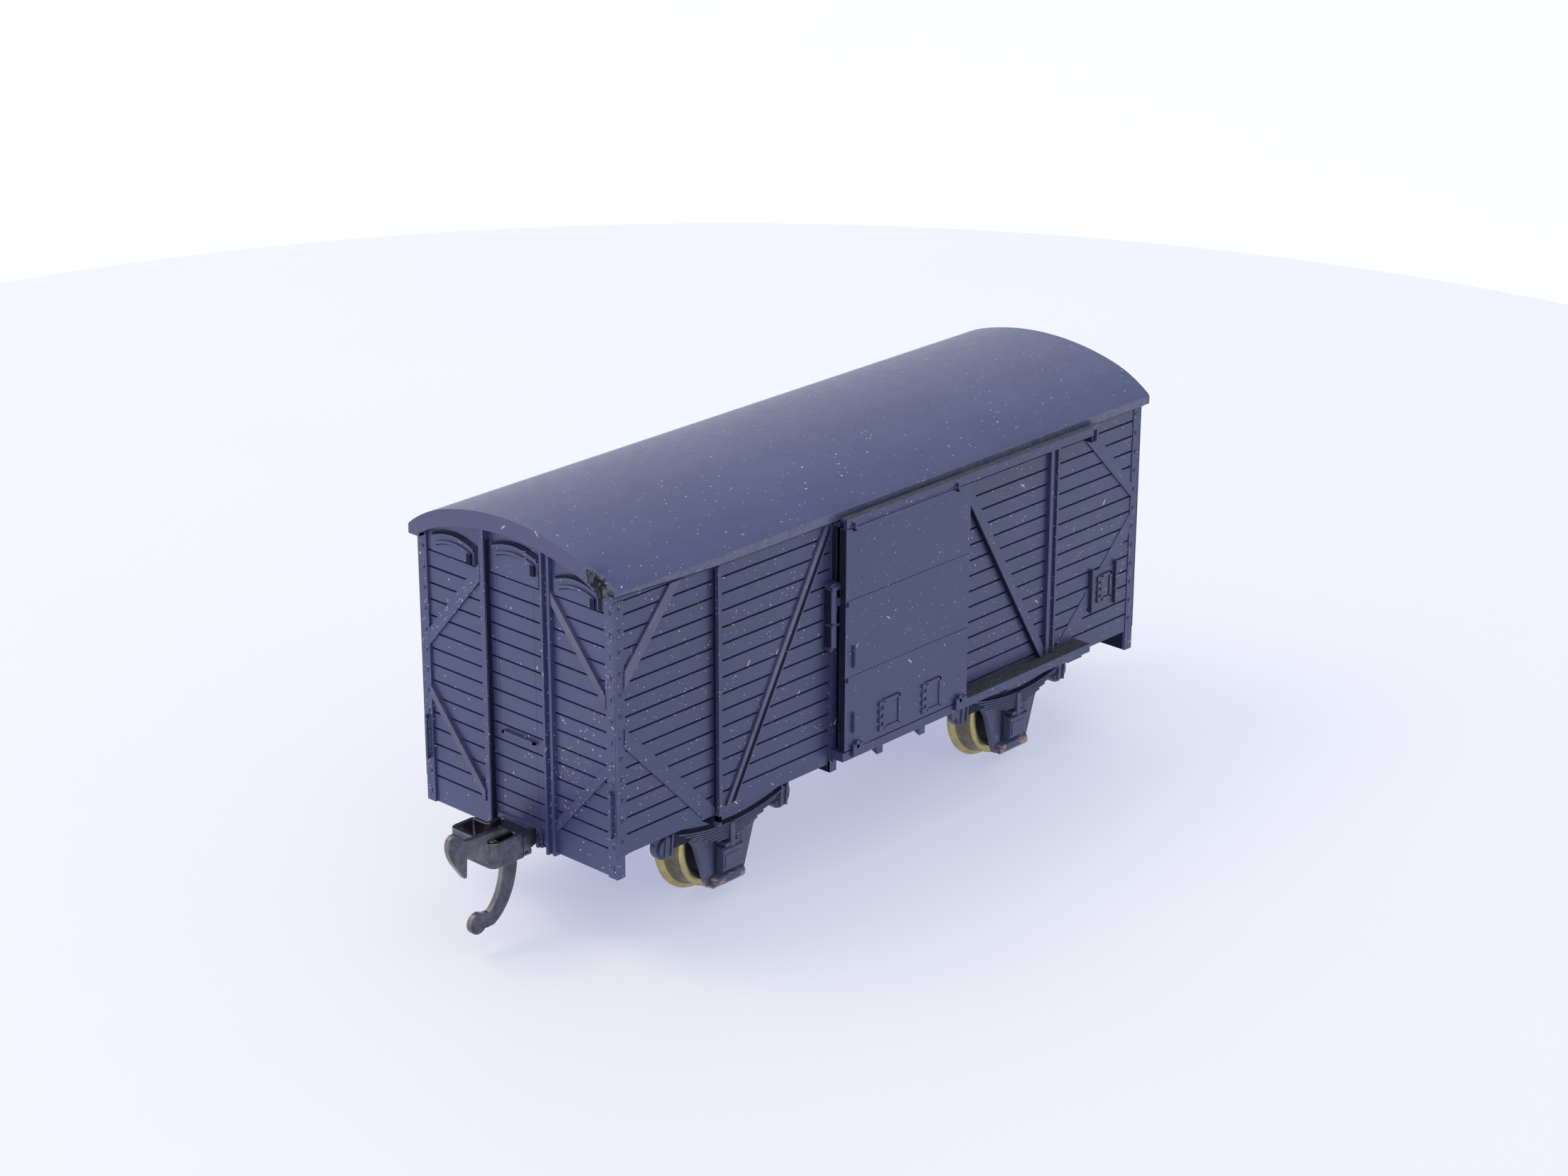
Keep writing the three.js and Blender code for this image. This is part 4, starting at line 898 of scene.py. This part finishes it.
def guard_form(cx):
    """One wheel's guard with its spring and axle box, on the near side at cx."""
    f = Form()
    half = [(2.8, 2.15), (4.5, 7.4), (5.3, 8.5), (6.9, 9.5), (8.9, 9.8), (8.9, 13.8)]
    outline = [(cx + x, z) for x, z in half] + [(cx - x, z) for x, z in half[::-1]]
    f.along_y(outline, -12.0, -11.25)
    # raised edges of the two legs, slanting like the outline, with a strip of painted shade inside each
    for s in (-1, 1):
        leg = [(2.85, 2.1), (4.55, 7.4), (5.2, 8.4), (2.7, 8.4), (1.9, 2.1)]
        f.along_y([(cx + s * x, z) for x, z in leg], -12.05, -11.3)
        x0, x1 = sorted((cx + s * 1.3, cx + s * 1.9))
        f.box(x0, x1, -12.07, -11.3, 2.6, 7.4, GAP_SHADE)
    # leaves, the longest on top
    for k in range(LEAVES):
        length = SPRING - 1.0 * k
        xs = [-length + 2 * length * i / 16 for i in range(17)]
        top = [(cx + x, spring_z(x) - k * LEAF) for x in xs]
        low = [(cx + x, spring_z(x) - (k + 1) * LEAF + 0.07) for x in xs][::-1]
        f.along_y(top + low, -13.1 + 0.02 * k, -11.9)
    # painted shade: a dark sheet behind the spring, up to the sill
    f.box(cx - 8.3, cx + 8.3, -12.45, -11.9, 9.0, 13.4, GAP_SHADE)
    # sill plate above the gap over the spring, with a notch in it painted dark as shade
    xs = [-8.6 + 17.2 * i / 16 for i in range(17)]
    sill = [(cx + x, spring_z(x) + 0.5) for x in xs] + [(cx + 8.6, 13.45), (cx - 8.6, 13.45)]
    f.along_y(sill, -12.95, -12.3, SILL)
    f.along_y([(cx - 5.1, 11.4), (cx - 3.2, 10.3), (cx - 2.0, 10.25), (cx - 2.0, 13.3), (cx - 5.1, 13.3)],
              -12.98, -12.4, GAP_SHADE)
    # buckle, axle box with its lid and the tie below
    f.along_z([(cx - 0.3, -13.26), (cx + 0.4, -13.26), (cx + 0.4, -12.0), (cx - 0.3, -12.0)], 6.6, 9.55)
    f.box(cx - 1.05, cx + 1.05, -13.18, -12.0, 6.7, 7.2)
    f.along_x([(-12.0, 3.3), (-13.15, 3.9), (-13.2, 6.0), (-12.9, 6.6), (-12.0, 6.7)], cx - 1.4, cx + 1.4)
    f.along_x([(-13.0, 6.1), (-13.4, 6.15), (-13.38, 6.55), (-12.9, 6.75)], cx - 1.6, cx + 1.6)
    f.box(cx - 1.15, cx + 1.15, -13.3, -13.0, 4.2, 5.9)
    f.along_x([(-11.4, 1.95), (-12.55, 1.97), (-12.8, 2.35), (-12.7, 3.0), (-12.0, 3.4), (-11.4, 3.2)],
              cx - 2.5, cx + 2.5)
    # rounded shackles with their ribs
    for s in (-1, 1):
        c = cx + 9.1 * s
        f.along_y(arc(c, 9.35, RING, 0, 345, 23), -11.85, -11.0)
        f.along_y(arc(c, 9.25, 1.2, 0, 345, 23), -12.2, -11.2)
        f.box(c - 1.5, c + 1.5, -11.8, -11.0, 9.9, 12.3)
        for dx in (-0.62, 0.32):
            f.along_y([(c + dx, 8.15), (c + dx + 0.3, 8.05), (c + dx + 0.55, 10.75), (c + dx + 0.25, 10.75)],
                      -12.4, -11.3)
    return f


def bracket_form():
    """The left bracket: a guard on each side, joined by arms with a ring for each screw."""
    f = guard_form(-AXLE)
    f.add(guard_form(AXLE).turned())
    for dx in (-8.2, 8.2):
        x = -AXLE + dx
        for y0, y1 in ((-11.3, -1.5), (1.5, 11.3)):
            f.box(x - 0.8, x + 0.8, y0, y1, ARM_LOW, ARM_TOP)
        rim, hole = arc(x, 0, RING, 0, 345, 23), arc(x, 0, BORE, 0, 345, 23)
        n = len(rim)
        verts = [(a, b, z) for ring in (rim, hole) for z in (ARM_LOW, ARM_TOP) for a, b in ring]
        faces = []
        for i in range(n):
            j = (i + 1) % n
            faces += [(i, j, n + j, n + i), (2 * n + i, 3 * n + i, 3 * n + j, 2 * n + j),
                      (i, 2 * n + i, 2 * n + j, j), (n + i, n + j, 3 * n + j, 3 * n + i)]
        f.put(verts, faces)
    return f


BRACKET_FORM = bracket_form()
for name, form in (("left", BRACKET_FORM), ("right", BRACKET_FORM.turned())):
    piece("axle_guard_" + name, form, "car_body", [CASTING, BRACKET_SHADE_PAINT, BODY], ["axle_bracket_" + name],
          0.07, 30)


# ---------- wheelsets ----------

# profiles as (radius, y), for the far side; the tread is the tyre's faces 7 to 10
WHEEL_Z = 6.5
TREAD_FACES = (7, 8, 9, 10)
TYRE = [(4.6, 7.25), (6.2, 7.25), (6.38, 7.32), (6.48, 7.48), (6.48, 7.62), (6.36, 7.84), (6.15, 7.98),
        (5.86, 8.12), (5.68, 8.28), (5.6, 8.5), (5.52, 9.4), (5.46, 10.2), (5.38, 10.36), (5.22, 10.45),
        (4.66, 10.45), (4.6, 10.38)]
CENTRE = [(1.02, 7.45), (1.9, 7.45), (2.1, 8.2), (2.3, 8.35), (3.7, 8.35), (3.95, 8.2), (4.1, 7.45),
          (4.58, 7.45), (4.58, 10.1), (4.3, 10.12), (4.1, 9.5), (3.9, 9.32), (2.2, 9.32), (1.95, 9.5),
          (1.75, 10.18), (1.02, 10.2)]
AXLE_ROD = [(0.02, -12.7), (0.25, -12.66), (0.58, -12.3), (0.6, -10.65), (0.98, -10.5), (0.98, -7.0),
            (0.94, 0.0), (0.98, 7.0), (0.98, 10.5), (0.6, 10.65), (0.58, 12.3), (0.25, 12.66), (0.02, 12.7)]

for end, x in (("left", -AXLE), ("right", AXLE)):
    body = "wheelset_" + end
    rod = Form()
    rod.lathe_y(AXLE_ROD, x, WHEEL_Z, 40)
    piece("axle_rod_" + end, rod, body, [PLAIN_STEEL], ["axle_" + end], 0, 35)
    for side, s in (("front", -1), ("back", 1)):
        tyre = Form()
        tyre.lathe_y([(r, s * y) for r, y in TYRE], x, WHEEL_Z, 96, TREAD_FACES)
        piece(f"tyre_{end}_{side}", tyre, body, [BRASS, TREAD], [f"wheel_tyre_{end}_{side}"],
              0, 40)
        centre = Form()
        centre.lathe_y([(r, s * y) for r, y in CENTRE], x, WHEEL_Z, 64)
        piece(f"wheel_disc_{end}_{side}", centre, body, [WHEEL], [f"wheel_centre_{end}_{side}"],
              0, 35)


# ---------- couplers ----------

# the loop of bent sheet: its front, half its width, the radius of its corners, its lower and upper edge
LOOP_FRONT = -51.2
LOOP_SIDE = 3.25
LOOP_CORNER = 0.65
LOOP_LOW, LOOP_TOP = 9.82, 12.78
# the hook's pin, and the place and radius of the shank's round end
PIN_X, PIN_Z = -48.3, 11.3
SWIVEL_X, SWIVEL = -38.5, 1.9


def coupler_form():
    """The left coupler's loop of bent sheet, and its shank with a round end on the pivot."""
    f = Form()
    x, y = LOOP_FRONT + LOOP_CORNER, LOOP_SIDE - LOOP_CORNER
    path = [(-46.95, -LOOP_SIDE), (x, -LOOP_SIDE)] + arc(x, -y, LOOP_CORNER, 255, 195, 4)
    path += [(LOOP_FRONT, -y), (LOOP_FRONT, y)] + arc(x, y, LOOP_CORNER, 165, 105, 4)
    path += [(x, LOOP_SIDE), (-48.25, LOOP_SIDE), (-48.0, 3.0), (-48.0, 1.35), (-47.75, 1.05), (-46.0, 1.3)]
    f.strip(path, 0.48, LOOP_LOW, LOOP_TOP)
    f.along_y([(-47.2, 9.95), (-46.3, 10.25), (-45.9, 10.6), (-45.1, 10.85), (-45.1, 12.7), (-47.2, 12.76)],
              -3.49, -3.01)
    f.box(-46.6, -43.2, 1.45, 1.9, 9.95, 11.3)
    f.along_x([(-3.49, 9.92), (-3.49, 10.5), (-2.6, 10.5), (-2.6, 9.92)], -46.9, -45.9)
    plan = [(-46.9, -3.45), (-45.8, -3.45), (-45.3, -SWIVEL)] + arc(SWIVEL_X, 0, SWIVEL, -90, 90, 12)
    plan += [(-45.5, SWIVEL), (-46.9, SWIVEL)]
    f.along_z(plan, 9.91, 10.49)
    f.box(-46.9, -45.1, -3.1, 1.5, 11.95, 12.2)
    return f


def hook_form():
    """The left hook: its outline from the nose round the top and down to the tail's ring."""
    f = Form()
    edge = [(-50.6, 12.95), (-51.6, 12.92)]
    edge += bezier(edge[-1], (-53.0, 12.75), (-53.9, 12.4), (-54.35, 12.15), 5)
    edge += [(-54.42, 11.0), (-54.46, 9.95), (-54.6, 9.82), (-54.85, 9.85)]
    edge += [(-56.1, 11.6)]
    edge += bezier(edge[-1], (-57.35, 13.4), (-57.25, 15.28), (-55.95, 15.28), 12)
    edge += bezier(edge[-1], (-55.05, 15.28), (-55.0, 14.15), (-54.2, 14.05), 7)
    edge += [(-52.0, 13.97), (-49.6, 13.85)]
    edge += bezier(edge[-1], (-48.6, 13.75), (-47.7, 13.1), (-47.4, 11.9), 7)
    edge += [(-47.25, 9.8)]
    edge += bezier(edge[-1], (-47.4, 6.6), (-48.9, 4.0), (-50.9, 3.02), 12)
    edge += [(-51.8, 2.98)]
    edge += arc(-53.05, 3.85, 1.22, -42, -305, 18)
    edge += bezier(edge[-1], (-51.9, 4.75), (-51.6, 4.6), (-51.2, 4.95), 3)
    edge += bezier(edge[-1], (-50.0, 6.1), (-49.45, 7.9), (-49.38, 9.6), 8)
    edge += [(-49.35, 12.0)]
    f.along_y(edge, -2.74, -2.06, PLAIN, WORN)
    return f


def pin_form():
    f = Form()
    f.lathe_y([(0.01, -3.5), (0.34, -3.5), (0.4, -3.44), (0.4, 1.28), (0.01, 1.28)], PIN_X, PIN_Z, 24)
    return f


COUPLER_FORMS = (coupler_form(), hook_form(), pin_form())
TURNED_FORMS = [form.turned() for form in COUPLER_FORMS]
for end, (loop, hook, pin) in (("left", COUPLER_FORMS), ("right", TURNED_FORMS)):
    piece("coupler_loop_" + end, loop, "coupler_" + end, [STEEL, STEEL_EDGE], ["coupler_frame_" + end],
          0.09, edge_slot=WORN)
    piece("hook_plate_" + end, hook, "hook_" + end, [STEEL, STEEL_EDGE], ["coupler_hook_" + end],
          0.06, edge_slot=WORN)
    piece("pivot_pin_" + end, pin, "coupler_" + end, [STEEL], ["hook_pin_" + end], 0, 35)


# ---------- carried-over CAD nodes ----------

def dress(node, material):
    """A material for a CAD solid that shows as it is."""
    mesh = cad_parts[node].data
    mesh.materials.clear()
    mesh.materials.append(material)


dress("floor", INSIDE)
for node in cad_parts:
    if "screw" in node or node == "ballast_weight":
        dress(node, PLAIN_STEEL)


# ---------- stage, camera and light ----------

def stage_mesh(name, verts, faces, colour, rough, glow):
    """A part of the stage; glow is the light it gives off itself."""
    mesh = bpy.data.meshes.new(name)
    mesh.from_pydata([tuple(c * MM for c in v) for v in verts], [], faces)
    obj = new_object(name, mesh)
    n = Nodes(name)
    shade = n.mix(n.ramp(n.noise(0.02, 3.0), 0.3, 0.7), colour, tuple(min(1.0, c * 1.015) for c in colour))
    n.set(Base_Color=shade, Roughness=rough, Emission_Color=(*glow, 1.0), Emission_Strength=1.0)
    mesh.materials.append(n.material)


def round_plate(name, x, y, z, radius, colour, rough, glow):
    sides = 360
    turns = [math.tau * i / sides for i in range(sides)]
    ring = [(x + radius * math.cos(a), y + radius * math.sin(a), z) for a in turns]
    stage_mesh(name, ring, [tuple(range(sides))], colour, rough, glow)


round_plate("turning_table", 13.1, 26.4, 0.0, 227.7, (0.50, 0.49, 0.35), 0.6, (0.374, 0.390, 0.570))
round_plate("backdrop", 0.0, 0.0, -3.0, 620.0, (0.60, 0.60, 0.58), 0.7, (0.40, 0.40, 0.42))

# the camera, as fitted to the photograph's perspective
camera = new_object("camera", bpy.data.cameras.new("camera"))
camera.data.sensor_width = 36.0
camera.data.lens = 78.03
camera.data.clip_start = 0.01
RIGHT = Vector((0.6816855, -0.7316425, 0.0020241))
UP = Vector((0.2662413, 0.2506370, 0.9307506))
BACK = Vector((-0.6814840, -0.6339403, 0.3656490))
pose = Matrix((RIGHT, UP, BACK)).transposed().to_4x4()
pose.translation = Vector((-0.26864, -0.24766, 0.17004))
camera.matrix_world = pose
bpy.context.scene.camera = camera

world = bpy.data.worlds.new("studio")
world.use_nodes = True
world.node_tree.nodes["Background"].inputs["Color"].default_value = (0.82, 0.87, 1.02, 1.0)
world.node_tree.nodes["Background"].inputs["Strength"].default_value = 1.0
bpy.context.scene.world = world


def area(name, place, target, size, watts, colour):
    """A round lamp at a place in metres, facing a target."""
    light = bpy.data.lights.new(name, "AREA")
    light.color = colour
    light.shape = "DISK"
    light.size = size
    light.energy = watts
    obj = new_object(name, light)
    obj.location = place
    obj.rotation_euler = (Vector(target) - Vector(place)).to_track_quat("-Z", "Y").to_euler()


area("key", (-0.35, 0.35, 0.75), (0, 0, 0.02), 0.5, 2.0, (1.0, 0.88, 0.55))

# the default transform can't reach the photograph's pale floor
bpy.context.scene.view_settings.view_transform = "Standard"
